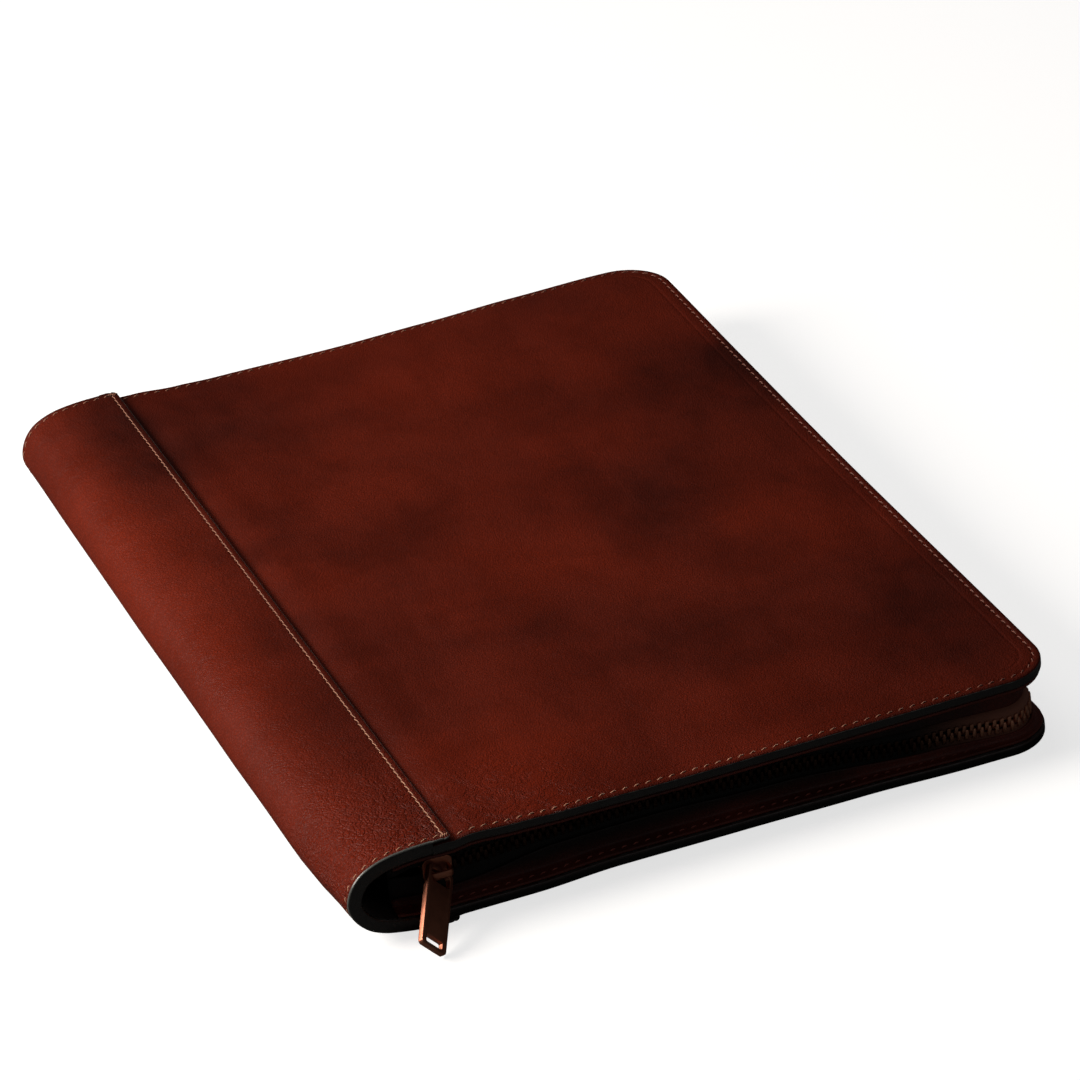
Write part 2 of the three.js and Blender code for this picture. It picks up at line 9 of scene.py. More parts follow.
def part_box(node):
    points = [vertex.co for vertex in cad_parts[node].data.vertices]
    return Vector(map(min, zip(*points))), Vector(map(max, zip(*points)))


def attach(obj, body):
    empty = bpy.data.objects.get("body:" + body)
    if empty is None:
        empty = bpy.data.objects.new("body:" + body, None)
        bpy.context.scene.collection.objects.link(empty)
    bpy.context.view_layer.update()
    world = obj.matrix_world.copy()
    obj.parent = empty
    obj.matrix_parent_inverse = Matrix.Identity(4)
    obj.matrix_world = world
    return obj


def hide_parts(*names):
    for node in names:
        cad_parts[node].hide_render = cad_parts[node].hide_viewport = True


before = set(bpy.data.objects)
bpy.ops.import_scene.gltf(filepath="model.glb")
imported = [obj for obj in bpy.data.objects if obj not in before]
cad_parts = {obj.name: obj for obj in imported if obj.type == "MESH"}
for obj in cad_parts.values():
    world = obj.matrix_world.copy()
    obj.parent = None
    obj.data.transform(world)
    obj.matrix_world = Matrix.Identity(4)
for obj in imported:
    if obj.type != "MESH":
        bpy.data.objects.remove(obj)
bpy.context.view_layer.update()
print("frame loaded:", len(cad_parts), "nodes")

mm = 0.001

# Sizes of the part's source, in millimetres: the pieces below follow the same surfaces
case = {
    "length": 350, "width": 250, "height": 31.4, "spineDepth": 32, "farRise": 2,
    "cover": 4, "corner": 18, "padRise": 0.9, "padBorder": 7, "padSlope": 34,
    "seamSlope": 12, "seamInset": 0.12, "sidePullIn": 0.9, "rimReach": 85,
    "spineStart": 1.7, "spineWall": 5, "lap": 1, "lapCover": 6.4, "gap": 0.3, "closeUp": 0.22,
}
openSide = case["width"] / 2
coverEnd = case["spineDepth"] - openSide
coverReach = openSide - coverEnd
halfLength = case["length"] / 2
lapEdge = coverEnd + case["lapCover"]

# across, near, middle, far: rims of the covers as shares of the case's height
frontRim = np.array([
    (0, .952, .962, .99), (.028, .955, .966, .985), (.06, .985, .978, .982),
    (.133, .958, .955, .945), (.2, .943, .942, .928), (.42, .927, .93, .908),
    (.58, .93, .93, .925), (.74, .933, .932, .952), (.88, .94, .934, .965),
    (1, .935, .932, .95),
])
backRim = np.array([
    (0, .043, .043, .043), (.045, .042, .04, .04), (.15, .04, .008, .026),
    (.28, .076, 0, .032), (.47, .067, 0, .028), (.67, .054, 0, .02),
    (.86, .019, 0, .012), (1, .013, .006, .01),
])
# out, up: the spine's section at its near end
spineProfile = np.array([
    (1, .992), (.92, 1), (.8, .997), (.62, .99), (.43, .965), (.295, .924),
    (.165, .85), (.07, .739), (.016, .605), (.004, .478), (.038, .357),
    (.098, .252), (.187, .159), (.31, .092), (.445, .054), (.61, .022),
    (.77, 0), (1, 0),
])
# along, height, inset: the zip's way round the three open sides
zipRun = np.array([
    (0, .555, 1), (.032, .555, 1), (.07, .592, 1), (.11, .598, 1), (.165, .54, .96),
    (.235, .4, .74), (.272, .35, .6), (.3, .37, .64), (.38, .45, .9), (.5, .49, 1),
    (.7, .49, 1), (.92, .51, 1), (1, .53, 1),
])


# Surfaces
def ease(value):
    t = np.clip(value, 0, 1)
    return t * t * (3 - 2 * t)


def ramp(value, start, length):
    return ease((value - start) / length)


def readTable(table, at, column):
    at = np.clip(at, table[0, 0], table[-1, 0])
    row = np.clip(np.searchsorted(table[:, 0], at, side="right") - 1, 0, len(table) - 2)
    start, end = table[row, 0], table[row + 1, 0]
    share = ease((at - start) / (end - start))
    return table[row, column] * (1 - share) + table[row + 1, column] * share


def rimHeight(table, x, y):
    across = (x - coverEnd) / coverReach
    near = ease(1 - (y + halfLength) / case["rimReach"])
    far = ease(1 - (halfLength - y) / case["rimReach"])
    low, middle, high = (readTable(table, across, column) for column in (1, 2, 3))
    return case["height"] * (middle + near * (low - middle) + far * (high - middle))


def splinePoints(points, steps):
    last = len(points) - 1
    t = np.linspace(0, last, steps + 1)
    i = np.minimum(t.astype(int), last - 1)
    w = (t - i)[:, None]
    p0, p1 = points[np.maximum(i - 1, 0)], points[i]
    p2, p3 = points[i + 1], points[np.minimum(i + 2, last)]
    v0, v1 = (p2 - p0) / 2, (p3 - p1) / 2
    cubic, square = 2 * p1 - 2 * p2 + v0 + v1, 3 * p2 - 3 * p1 - 2 * v0 - v1
    return cubic * w ** 3 + square * w ** 2 + v0 * w + p1


def spineOuter(share, steps=400):
    outermost = -openSide + case["spineStart"] * (1 - share)
    out, up = spineProfile[:, 0], spineProfile[:, 1]
    x = outermost + (lapEdge - outermost) * out
    z = case["height"] * up + case["farRise"] * share * ease(up)
    return splinePoints(np.stack([x, z], 1), steps)


def offsetLine(points, distance):
    ahead, behind = np.roll(points, -1, 0), np.roll(points, 1, 0)
    ahead[-1], behind[0] = points[-1], points[0]
    run = ahead - behind
    run /= np.linalg.norm(run, axis=1)[:, None]
    return points + np.stack([-run[:, 1], run[:, 0]], 1) * distance


# Upper and lower half of a line round the spine, each with x rising
def halves(points):
    turn = int(np.argmin(points[:, 0]))
    return points[:turn + 1][::-1], points[turn:]


def heightOn(line, x):
    return np.interp(x, line[:, 0], line[:, 1])


lapEnds = [halves(offsetLine(spineOuter(share), case["lap"])) for share in (0, 1)]
wallEnds = [halves(offsetLine(spineOuter(share), case["spineWall"])) for share in (0, 1)]
outerEnds = [halves(spineOuter(share)) for share in (0, 1)]


# Height at x and y of a pair of lines given at the near and far ends; half is 0 above and 1 below
def betweenEnds(ends, half, x, y):
    share = (y + halfLength) / case["length"]
    return heightOn(ends[0][half], x) * (1 - share) + heightOn(ends[1][half], x) * share


def frontTop(x, y):
    height = rimHeight(frontRim, x, y)
    underLap = betweenEnds(lapEnds, 0, x, y) - case["gap"]
    return np.where(x > lapEdge, height, np.minimum(height, underLap))


def backUnder(x, y):
    height = rimHeight(backRim, x, y)
    overLap = betweenEnds(lapEnds, 1, x, y) + case["gap"]
    return np.where(x > lapEdge, height, np.maximum(height, overLap))


def pullIn(y):
    return case["sidePullIn"] * ease(1 - np.abs(y) / (halfLength - case["corner"]))


outlineSteps = {"side": 134, "corner": 14, "open": 200, "seam": 70}


# Outline of a cover at an inset: near side, corner, open side, corner, far side, seam
def coverOutline(inset):
    radius = max(case["corner"] - inset, 0)
    left = coverEnd - case["closeUp"] + case["seamInset"] * inset
    right, half = openSide - inset, halfLength - inset

    def along(a, b, steps):
        t = np.arange(steps)[:, None] / steps
        return np.array(a) * (1 - t) + np.array(b) * t

    def turn(x, y, start):
        angle = start + math.pi / 2 * np.arange(outlineSteps["corner"]) / outlineSteps["corner"]
        return np.stack([x + radius * np.cos(angle), y + radius * np.sin(angle)], 1)

    points = np.concatenate([
        along((left, -half), (right - radius, -half), outlineSteps["side"]),
        turn(right - radius, -half + radius, -math.pi / 2),
        along((right, -half + radius), (right, half - radius), outlineSteps["open"]),
        turn(right - radius, half - radius, 0),
        along((right - radius, half), (left, half), outlineSteps["side"]),
        along((left, half), (left, -half), outlineSteps["seam"]),
    ])
    points[:, 0] -= ease((points[:, 0] - coverEnd) / coverReach) * pullIn(points[:, 1])
    return points


# Gentle unevenness of hand-made leather, from -1 to 1
def undulation(x, y, z, size, seed):
    offset = Vector((seed * 17.3, seed * 5.1, seed * 9.7))
    values = [noise.noise(Vector(p) / size + offset) for p in np.stack([x, y, z], -1).reshape(-1, 3)]
    return np.array(values).reshape(np.shape(x))


# Meshes
def addObject(name, data):
    made = bpy.data.objects.new(name, data)
    bpy.context.scene.collection.objects.link(made)
    return made


def meshFrom(work, name):
    mesh = bpy.data.meshes.new(name)
    work.to_mesh(mesh)
    work.free()
    return mesh


# A grid is an array of rows of points with a material number, and an optional rim: each point's
# distance from the piece's painted edge. Grids that share their border points become one skin.
def skin(name, grids, materials):
    points, faces, slots, rims = [], [], [], []
    start = 0
    for grid, slot, rim in grids:
        rows, columns = grid.shape[:2]
        points.append(grid.reshape(-1, 3) * mm)
        rims.append(np.broadcast_to(rim, (rows, columns)).reshape(-1))
        a = start + np.arange(rows - 1)[:, None] * columns + np.arange(columns - 1)[None, :]
        quads = np.stack([a, a + 1, a + columns + 1, a + columns], -1).reshape(-1, 4)
        faces.append(quads)
        slots.append(np.full(len(quads), slot))
        start += rows * columns
    mesh = bpy.data.meshes.new(name)
    mesh.from_pydata(np.concatenate(points).tolist(), [], np.concatenate(faces).tolist())
    for material in materials:
        mesh.materials.append(material)
    mesh.polygons.foreach_set("material_index", np.concatenate(slots))
    layer = mesh.attributes.new("rim", "FLOAT", "POINT")
    layer.data.foreach_set("value", np.concatenate(rims).astype(np.float32))
    work = bmesh.new()
    work.from_mesh(mesh)
    bmesh.ops.remove_doubles(work, verts=work.verts, dist=2e-6)
    bmesh.ops.dissolve_degenerate(work, edges=work.edges, dist=1e-7)
    # closes the slits that are left where rounded edges meet at a corner
    slits = [edge for edge in work.edges if edge.is_boundary]
    if slits:
        closed = bmesh.ops.holes_fill(work, edges=slits, sides=0)["faces"]
        for face in closed:
            face.material_index = min(1, len(materials) - 1)
        bmesh.ops.triangulate(work, faces=closed)
    bmesh.ops.recalc_face_normals(work, faces=work.faces)
    for face in work.faces:
        face.smooth = True
    work.to_mesh(mesh)
    work.free()
    return addObject(name, mesh)


def placePiece(piece, body, nodes=()):
    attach(piece, body)
    if nodes:
        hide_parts(*nodes)
    return piece


# Shader helpers
def put(tree, kind, inputs=None, **settings):
    made = tree.nodes.new(kind)
    for key, value in settings.items():
        setattr(made, key, value)
    for key, value in (inputs or {}).items():
        if isinstance(value, bpy.types.NodeSocket):
            tree.links.new(value, made.inputs[key])
        else:
            made.inputs[key].default_value = value
    return made


def mathNode(tree, operation, a, b=0.0):
    return put(tree, "ShaderNodeMath", {0: a, 1: b}, operation=operation).outputs[0]


def times(tree, value, factor):
    return mathNode(tree, "MULTIPLY", value, factor)


def addUp(tree, total, *values):
    for value in values:
        total = mathNode(tree, "ADD", total, value)
    return total


def vectorNode(tree, operation, *values):
    return put(tree, "ShaderNodeVectorMath", dict(enumerate(values)), operation=operation)


def noiseNode(tree, vector, scale, detail, roughness=0.5, distortion=0.0):
    return put(tree, "ShaderNodeTexNoise", {
        "Vector": vector, "Scale": scale, "Detail": detail, "Roughness": roughness,
        "Distortion": distortion})


def noiseValue(*settings):
    return noiseNode(*settings).outputs["Fac"]


def cellEdges(tree, vector, scale):
    return put(tree, "ShaderNodeTexVoronoi", {"Vector": vector, "Scale": scale},
               feature="DISTANCE_TO_EDGE").outputs["Distance"]


def axes(tree, vector):
    return put(tree, "ShaderNodeSeparateXYZ", {0: vector}).outputs


def attributeNode(tree, name):
    return put(tree, "ShaderNodeAttribute", attribute_name=name).outputs


# A sine between 0 and 1
def wave(tree, angle):
    sine = mathNode(tree, "SINE", angle)
    return put(tree, "ShaderNodeMath", {0: sine, 1: 0.5, 2: 0.5}, operation="MULTIPLY_ADD").outputs[0]


def spread(tree, value, low, high, toLow=0.0, toHigh=1.0):
    return put(tree, "ShaderNodeMapRange",
               {"Value": value, "From Min": low, "From Max": high, "To Min": toLow, "To Max": toHigh},
               interpolation_type="SMOOTHSTEP").outputs["Result"]


def blendColour(tree, factor, a, b):
    return put(tree, "ShaderNodeMix", {0: factor, 6: a, 7: b},
               data_type="RGBA", clamp_factor=True).outputs[2]


def newTree(kind, name, inputs, outputs):
    tree = bpy.data.node_groups.new(name, kind)
    for label, socketKind, value in inputs:
        socket = tree.interface.new_socket(label, in_out="INPUT", socket_type=socketKind)
        if value is not None:
            socket.default_value = value
    for label, socketKind in outputs:
        tree.interface.new_socket(label, in_out="OUTPUT", socket_type=socketKind)
    return tree, tree.nodes.new("NodeGroupInput"), tree.nodes.new("NodeGroupOutput")


def useGroup(tree, group, inputs):
    return put(tree, "ShaderNodeGroup", inputs, node_tree=group).outputs


def newMaterial(name, **shader):
    material = bpy.data.materials.new(name)
    material.use_nodes = True
    tree = material.node_tree
    bsdf = tree.nodes["Principled BSDF"]
    for key, value in shader.items():
        bsdf.inputs[key].default_value = value
    coordinates = tree.nodes.new("ShaderNodeTexCoord")
    return material, tree, bsdf, coordinates.outputs["Object"]


# Leads the colour, the relief and a varying roughness into the shader
def dress(tree, bsdf, look, tint, height, rough=None):
    bump = put(tree, "ShaderNodeBump",
               {"Height": height, "Strength": look["bump"], "Distance": look["depth"]})
    for key, socket in (("Base Color", tint), ("Roughness", rough), ("Normal", bump.outputs["Normal"])):
        if socket is not None:
            tree.links.new(socket, bsdf.inputs[key])


def colour(*values):
    linear = [((c / 255 + 0.055) / 1.055) ** 2.4 if c > 10 else c / 255 / 12.92 for c in values]
    return (*linear, 1.0)


def blendLook(tree, factor, look, low, high):
    return blendColour(tree, factor, colour(*look[low]), colour(*look[high]))


# Fine pebbled grain with its pores, and long shallow wrinkles across it
def buildGrain():
    tree, inside, out = newTree("ShaderNodeTree", "leatherGrain", [
        ("Position", "NodeSocketVector", None),
        ("Pebble Size", "NodeSocketFloat", 0.0011),
        ("Wrinkle Size", "NodeSocketFloat", 0.006),
        ("Wrinkles", "NodeSocketFloat", 0.5),
        ("Broad", "NodeSocketFloat", 0.0),
    ], [("Height", "NodeSocketFloat"), ("Pores", "NodeSocketFloat")])
    position = inside.outputs["Position"]
    perMetre = mathNode(tree, "DIVIDE", 1.0, inside.outputs["Pebble Size"])
    shift = noiseNode(tree, position, 420.0, 2.0).outputs["Color"]
    bent = vectorNode(tree, "MULTIPLY_ADD", shift, (0.0006, 0.0006, 0.0006), position).outputs[0]
    swerve = vectorNode(tree, "MULTIPLY_ADD", shift, (0.0016, 0.0016, 0.0016), position).outputs[0]
    pebble = spread(tree, cellEdges(tree, bent, perMetre), 0.0, 0.32)
    broad = spread(tree, cellEdges(tree, swerve, times(tree, perMetre, 0.42)), 0.0, 0.16)
    fine = noiseValue(tree, position, 2600.0, 3.0)
    folds = mathNode(tree, "DIVIDE", 1.0, inside.outputs["Wrinkle Size"])
    wrinkle = noiseValue(tree, bent, folds, 5.0, 0.62, 1.4)
    ridge = mathNode(tree, "ABSOLUTE", mathNode(tree, "SUBTRACT", wrinkle, 0.5))
    valley = spread(tree, ridge, 0.0, 0.09)
    height = addUp(tree, times(tree, pebble, 0.55), times(tree, fine, 0.25),
                   times(tree, valley, inside.outputs["Wrinkles"]),
                   times(tree, broad, inside.outputs["Broad"]))
    tree.links.new(height, out.inputs["Height"])
    tree.links.new(mathNode(tree, "SUBTRACT", 1.0, pebble), out.inputs["Pores"])
    return tree


# Uneven dye: wide clouds, smaller mottling and faint streaks along the skin
def buildDye():
    tree, inside, out = newTree("ShaderNodeTree", "unevenDye", [
        ("Position", "NodeSocketVector", None),
        ("Cloud Size", "NodeSocketFloat", 0.07),
        ("Streak Size", "NodeSocketFloat", 0.02),
    ], [("Clouds", "NodeSocketFloat"), ("Mottle", "NodeSocketFloat"), ("Streaks", "NodeSocketFloat")])
    position = inside.outputs["Position"]
    longways = put(tree, "ShaderNodeMapping", {"Vector": position, "Scale": (1.0, 0.6, 1.0)}).outputs[0]
    sideways = put(tree, "ShaderNodeMapping", {"Vector": position, "Scale": (0.5, 1.0, 1.0)}).outputs[0]
    perCloud = mathNode(tree, "DIVIDE", 1.0, inside.outputs["Cloud Size"])
    perMottle = mathNode(tree, "DIVIDE", 3.4, inside.outputs["Cloud Size"])
    perStreak = mathNode(tree, "DIVIDE", 1.0, inside.outputs["Streak Size"])
    for name, value, low, high in (
            ("Clouds", noiseValue(tree, longways, perCloud, 4.0, 0.5, 0.6), 0.33, 0.68),
            ("Mottle", noiseValue(tree, longways, perMottle, 3.0, 0.6, 0.4), 0.3, 0.7),
            ("Streaks", noiseValue(tree, sideways, perStreak, 4.0, 0.55), 0.3, 0.7)):
        tree.links.new(spread(tree, value, low, high), out.inputs[name])
    return tree


# Soft-edged lighter and darker patches at chosen places of the cover
def buildPatches(patches):
    tree, inside, out = newTree("ShaderNodeTree", "tonePatches", [
        ("Position", "NodeSocketVector", None),
    ], [("Patches", "NodeSocketFloat")])
    position = inside.outputs["Position"]
    drift = noiseNode(tree, position, 26.0, 4.0, 0.6).outputs["Color"]
    centred = vectorNode(tree, "SUBTRACT", drift, (0.5, 0.5, 0.5)).outputs[0]
    bent = vectorNode(tree, "MULTIPLY_ADD", centred, (0.075, 0.075, 0.0), position).outputs[0]
    total = 0.0
    for x, y, radius, amount in patches:
        away = vectorNode(tree, "DISTANCE", bent, (x * mm, y * mm, 0.03)).outputs["Value"]
        total = addUp(tree, total, spread(tree, away, 0.0, radius * mm, amount, 0.0))
    tree.links.new(total, out.inputs["Patches"])
    return tree


leatherGrain = buildGrain()
unevenDye = buildDye()

# Colours are sRGB, 0 to 255
leatherLook = {
    "light": (118, 34, 13), "dark": (52, 13, 6), "burnished": (36, 9, 5),
    "rough": 0.42, "gloss": 0.14, "pebble": 0.0009, "wrinkle": 0.007, "depth": 0.00032, "bump": 0.6,
    "cloud": 0.1, "streak": 0.018, "clouds": 0.26, "mottle": 0.18, "streaks": 0.08, "pores": 0.32,
    "creasedCorner": (-0.068, -0.175, 0.03), "creases": 1.3, "flatGrain": 0.9,
    # the cover is lighter toward the spine as painted light, the spine's near end lighter as a painted
    # highlight and its foot darker as painted shade
    "paintedLightTowardSpine": 0.24, "seamDarkening": -0.1, "nearEndHighlight": 0.5, "footShade": -1.9,
}
# x, y, radius in millimetres, and how much lighter or darker the colour is there
tonePatches = [
    (-18, 60, 48, .22), (54, 50, 30, .16), (-66, -4, 26, .2), (92, -41, 34, .2),
    (-2, -17, 52, .22), (-58, -143, 46, .3), (10, 120, 40, .12), (52, 8, 46, -.2),
    (92, -112, 62, -.28), (-74, 39, 34, -.22), (124, 81, 60, -.3), (35, -92, 44, -.24),
    (-70, 130, 60, -.2), (60, 160, 60, -.16), (-20, -60, 30, -.16), (-118, 150, 100, -.3),
    (70, -165, 50, -.12),
]
toneSpots = buildPatches(tonePatches)
edgeLook = {
    # the light grey is a painted highlight along the outer arris
    "paint": (22, 24, 24), "thick": (14, 12, 11), "inner": (58, 26, 19), "worn": (96, 98, 94),
    "rough": 0.3, "bump": 0.5, "depth": 0.00012,
}
liningLook = {
    "light": (34, 23, 19), "dark": (22, 14, 12), "nap": (14, 10, 9), "bump": 0.4, "depth": 0.0002,
}
gussetLook = {
    # the near-black colour is painted shade for the recess by the zip
    "light": (140, 56, 42), "dark": (84, 32, 24), "pores": (46, 19, 15), "recessShade": (7, 6, 6),
    "cloud": 0.05, "streak": 0.012, "pebble": 0.0009, "wrinkle": 0.005, "bump": 0.6, "depth": 0.0001,
}
threadLook = {
    "cream": {"light": (216, 158, 122), "dark": (116, 66, 48)},
    "red": {"light": (214, 112, 96), "dark": (120, 50, 42)},
    "dyed": (104, 40, 26), "plies": 5200.0, "bump": 0.6, "depth": 0.00008,
}
tapeLook = {
    # the tape's near-black colours are painted shade, and the brown corner colour is painted light
    # round the open corners
    "light": (22, 19, 18), "dark": (7, 6, 6), "corner": (176, 112, 90), "yarn": 0.0007, "rib": 0.0005,
    "zigzag": 0.0022, "bump": 0.5, "depth": 0.0001,
}
# Where the looks change over, in metres of the part's own frame
zones = {
    "nearEnd": (-0.175, -0.075), "farStain": (0.15, 0.172), "nearStain": (-0.165, 0.0),
    "openCorners": (0.07, 0.112), "openStain": (0.0, 0.118), "across": (0.02, 0.2),
    "flank": (-0.118, -0.094), "seamBand": (0.0, 0.012), "foot": (0.006, 0.018),
    "creased": (0.012, 0.05), "seam": -0.088,
}


# Metres across the case, rising from the far end of the spine to the near end of the open side
def acrossCase(tree, place):
    return addUp(tree, place[0], times(tree, place[1], -0.15))


# 0 along the near and far sides, 1 from their rounded corners on
def towardOpenSide(tree, position):
    return spread(tree, axes(tree, position)[0], *zones["openCorners"])


def coverLeather(name, grain=1.0, wrinkles=0.35, pebble=1.0, broad=0.25, paintedLightAmount=0.0):
    look = leatherLook
    material, tree, bsdf, position = newMaterial(name, **{"Specular IOR Level": look["gloss"]})
    place = axes(tree, position)
    nearEnd = spread(tree, place[1], *zones["nearEnd"], 1.0, 0.0)
    corner = vectorNode(tree, "DISTANCE", position, look["creasedCorner"]).outputs["Value"]
    dye = useGroup(tree, unevenDye, {
        "Position": position, "Cloud Size": look["cloud"], "Streak Size": look["streak"]})
    skinGrain = useGroup(tree, leatherGrain, {
        "Position": position, "Pebble Size": look["pebble"] * pebble, "Wrinkle Size": look["wrinkle"],
        "Wrinkles": spread(tree, corner, *zones["creased"], wrinkles + look["creases"], wrinkles),
        "Broad": times(tree, nearEnd, broad)})

    # painted light on the spine: its flank is lighter, and lighter still toward its near end as a
    # painted highlight; painted shade darkens the spine's foot; the seam band is darker
    fromSeam = mathNode(tree, "ABSOLUTE", addUp(tree, place[0], -zones["seam"]))
    tone = addUp(
        tree, times(tree, dye["Clouds"], look["clouds"]), times(tree, dye["Mottle"], look["mottle"]),
        times(tree, dye["Streaks"], look["streaks"]),
        # painted light: lighter toward the spine side and the far end
        spread(tree, acrossCase(tree, place), *zones["across"], look["paintedLightTowardSpine"], 0.0),
        useGroup(tree, toneSpots, {"Position": position})["Patches"],
        spread(tree, place[0], *zones["flank"], paintedLightAmount, 0.0),
        spread(tree, fromSeam, *zones["seamBand"], look["seamDarkening"], 0.0),
        times(tree, nearEnd, look["nearEndHighlight"] * paintedLightAmount),
        spread(tree, place[2], *zones["foot"], look["footShade"] * paintedLightAmount, 0.0))
    burnished = colour(*look["burnished"])
    base = blendLook(tree, tone, look, "dark", "light")
    base = blendColour(tree, times(tree, skinGrain["Pores"], look["pores"]), base, burnished)
    burnish = spread(tree, attributeNode(tree, "rim")["Fac"], 0.2, 3.0, 0.45, 0.0)
    base = blendColour(tree, burnish, base, burnished)

    mottled = spread(tree, dye["Mottle"], 0.0, 1.0, look["rough"] - 0.05, look["rough"] + 0.07)
    rough = addUp(tree, mottled, times(tree, nearEnd, -0.07), times(tree, skinGrain["Pores"], 0.12))
    swell = addUp(tree, times(tree, nearEnd, grain - look["flatGrain"]), look["flatGrain"])
    dress(tree, bsdf, look, base, times(tree, skinGrain["Height"], swell), rough)
    return material


def edgePaintMaterial():
    look = edgeLook
    material, tree, bsdf, position = newMaterial("edgePaint", **{"Specular IOR Level": 0.7})
    lumps = noiseValue(tree, position, 700.0, 4.0)
    depth = attributeNode(tree, "rim")["Fac"]
    tint = blendLook(tree, noiseValue(tree, position, 90.0, 2.0), look, "paint", "thick")
    # thin and brown at the arris on the inner side; at the outer arris a light grey line is a painted
    # highlight
    tint = blendColour(tree, spread(tree, depth, -4.0, -2.6, 0.75, 0.0), tint, colour(*look["inner"]))
    tint = blendColour(tree, spread(tree, depth, -0.8, -0.1, 0.0, 0.8), tint, colour(*look["worn"]))
    rough = spread(tree, lumps, 0.3, 0.7, look["rough"] - 0.06, look["rough"] + 0.14)
    dress(tree, bsdf, look, tint, lumps, rough)
    return material


def liningMaterial():
    look = liningLook
    material, tree, bsdf, position = newMaterial(
        "suedeLining", **{"Roughness": 0.95, "Sheen Weight": 0.08})
    nap = noiseValue(tree, position, 1500.0, 4.0)
    tint = blendLook(tree, noiseValue(tree, position, 45.0, 3.0), look, "dark", "light")
    dress(tree, bsdf, look, blendColour(tree, nap, tint, colour(*look["nap"])), nap)
    return material


def gussetMaterial():
    look = gussetLook
    material, tree, bsdf, position = newMaterial("gussetLeather", **{"Specular IOR Level": 0.4})
    dye = useGroup(tree, unevenDye, {
        "Position": position, "Cloud Size": look["cloud"], "Streak Size": look["streak"]})
    skinGrain = useGroup(tree, leatherGrain, {
        "Position": position, "Pebble Size": look["pebble"], "Wrinkle Size": look["wrinkle"],
        "Wrinkles": 0.6})
    tone = addUp(tree, times(tree, dye["Clouds"], 0.6), times(tree, dye["Mottle"], 0.4))
    base = blendLook(tree, tone, look, "dark", "light")
    base = blendColour(tree, times(tree, skinGrain["Pores"], 0.4), base, colour(*look["pores"]))
    # painted shade: darker toward the zip, into the recess, less so round the open corners
    fade = spread(tree, attributeNode(tree, "rim")["Fac"], 3.2, 8.0, 0.0, 0.94)
    kept = addUp(tree, 1.0, times(tree, towardOpenSide(tree, position), -0.8))
    base = blendColour(tree, times(tree, fade, kept), base, colour(*look["recessShade"]))
    rough = spread(tree, dye["Mottle"], 0.0, 1.0, 0.42, 0.58)
    dress(tree, bsdf, look, base, skinGrain["Height"], rough)
    return material


def threadMaterial(name, look):
    material, tree, bsdf, position = newMaterial(name, **{"Roughness": 0.6, "Sheen Weight": 0.2})
    strand = axes(tree, attributeNode(tree, "strand")["Vector"])
    ply = wave(tree, addUp(tree, times(tree, strand[0], threadLook["plies"]),
                           times(tree, strand[1], 4 * math.pi)))
    fuzz = noiseValue(tree, position, 900.0, 3.0)
    tone = addUp(tree, times(tree, ply, 0.7), times(tree, fuzz, 0.5))
    # the far and open sides' thread has taken up more of the dye than the near side's
    place, stained = axes(tree, position), 0.0
    for axis, zone, most in ((0, "openStain", 0.85), (1, "farStain", 0.5), (1, "nearStain", 0.45)):
        stained = mathNode(tree, "MAXIMUM", stained, spread(tree, place[axis], *zones[zone], 0.0, most))
    base = blendColour(tree, stained, blendLook(tree, tone, look, "dark", "light"),
                       colour(*threadLook["dyed"]))
    dress(tree, bsdf, threadLook, base, ply)
    return material


def tapeMaterial():
    look = tapeLook
    material, tree, bsdf, position = newMaterial(
        "tapeWeave", **{"Roughness": 0.85, "Sheen Weight": 0.08})
    along, across = axes(tree, attributeNode(tree, "cloth")["Vector"])[:2]
    zigzag = mathNode(tree, "PINGPONG", across, look["zigzag"])
    yarn = wave(tree, times(tree, addUp(tree, along, zigzag), 2 * math.pi / look["yarn"]))
    rib = mathNode(tree, "SINE", times(tree, across, 2 * math.pi / look["rib"]))
    tint = blendLook(tree, yarn, look, "dark", "light")
    # painted light: the tape turns lighter brown round the open corners
    light = times(tree, towardOpenSide(tree, position), 0.75)
    tint = blendColour(tree, light, tint, colour(*look["corner"]))
    dress(tree, bsdf, look, tint, addUp(tree, yarn, times(tree, rib, 0.25)))
    return material


metalLook = {
    "copper": {"light": (214, 140, 112), "dark": (120, 72, 56),
               "rough": 0.42, "wear": 0.75, "patchy": 0.1},
    # the teeth's dark colours are painted shade, and their corner colour is painted light round the
    # open corners
    "tooth": {"light": (88, 62, 50), "dark": (34, 24, 21), "corner": (236, 168, 136),
              "rough": 0.4, "wear": 0.35, "patchy": 0.3},
    "bump": 0.05, "depth": 0.00003,
}


def metalMaterial(name, look):
    material, tree, bsdf, position = newMaterial(name, Metallic=1.0)
    brushed = put(tree, "ShaderNodeMapping", {
        "Vector": position, "Scale": (1.0, 0.08, 1.0), "Rotation": (0.3, 0.2, 0.5)}).outputs[0]
    scratches = noiseValue(tree, brushed, 2600.0, 3.0)
    tone = spread(tree, noiseValue(tree, position, 260.0, 4.0), 0.3, 0.7,
                  look["wear"] - look["patchy"], look["wear"] + look["patchy"])
    base = blendLook(tree, tone, look, "dark", "light")
    # painted light: lighter round the open corners
    if "corner" in look:
        base = blendColour(tree, towardOpenSide(tree, position), base, colour(*look["corner"]))
    rough = spread(tree, scratches, 0.35, 0.7, look["rough"] - 0.05, look["rough"] + 0.1)
    dress(tree, bsdf, metalLook, base, scratches, rough)
    return material


coverSkin = coverLeather("coverLeather")
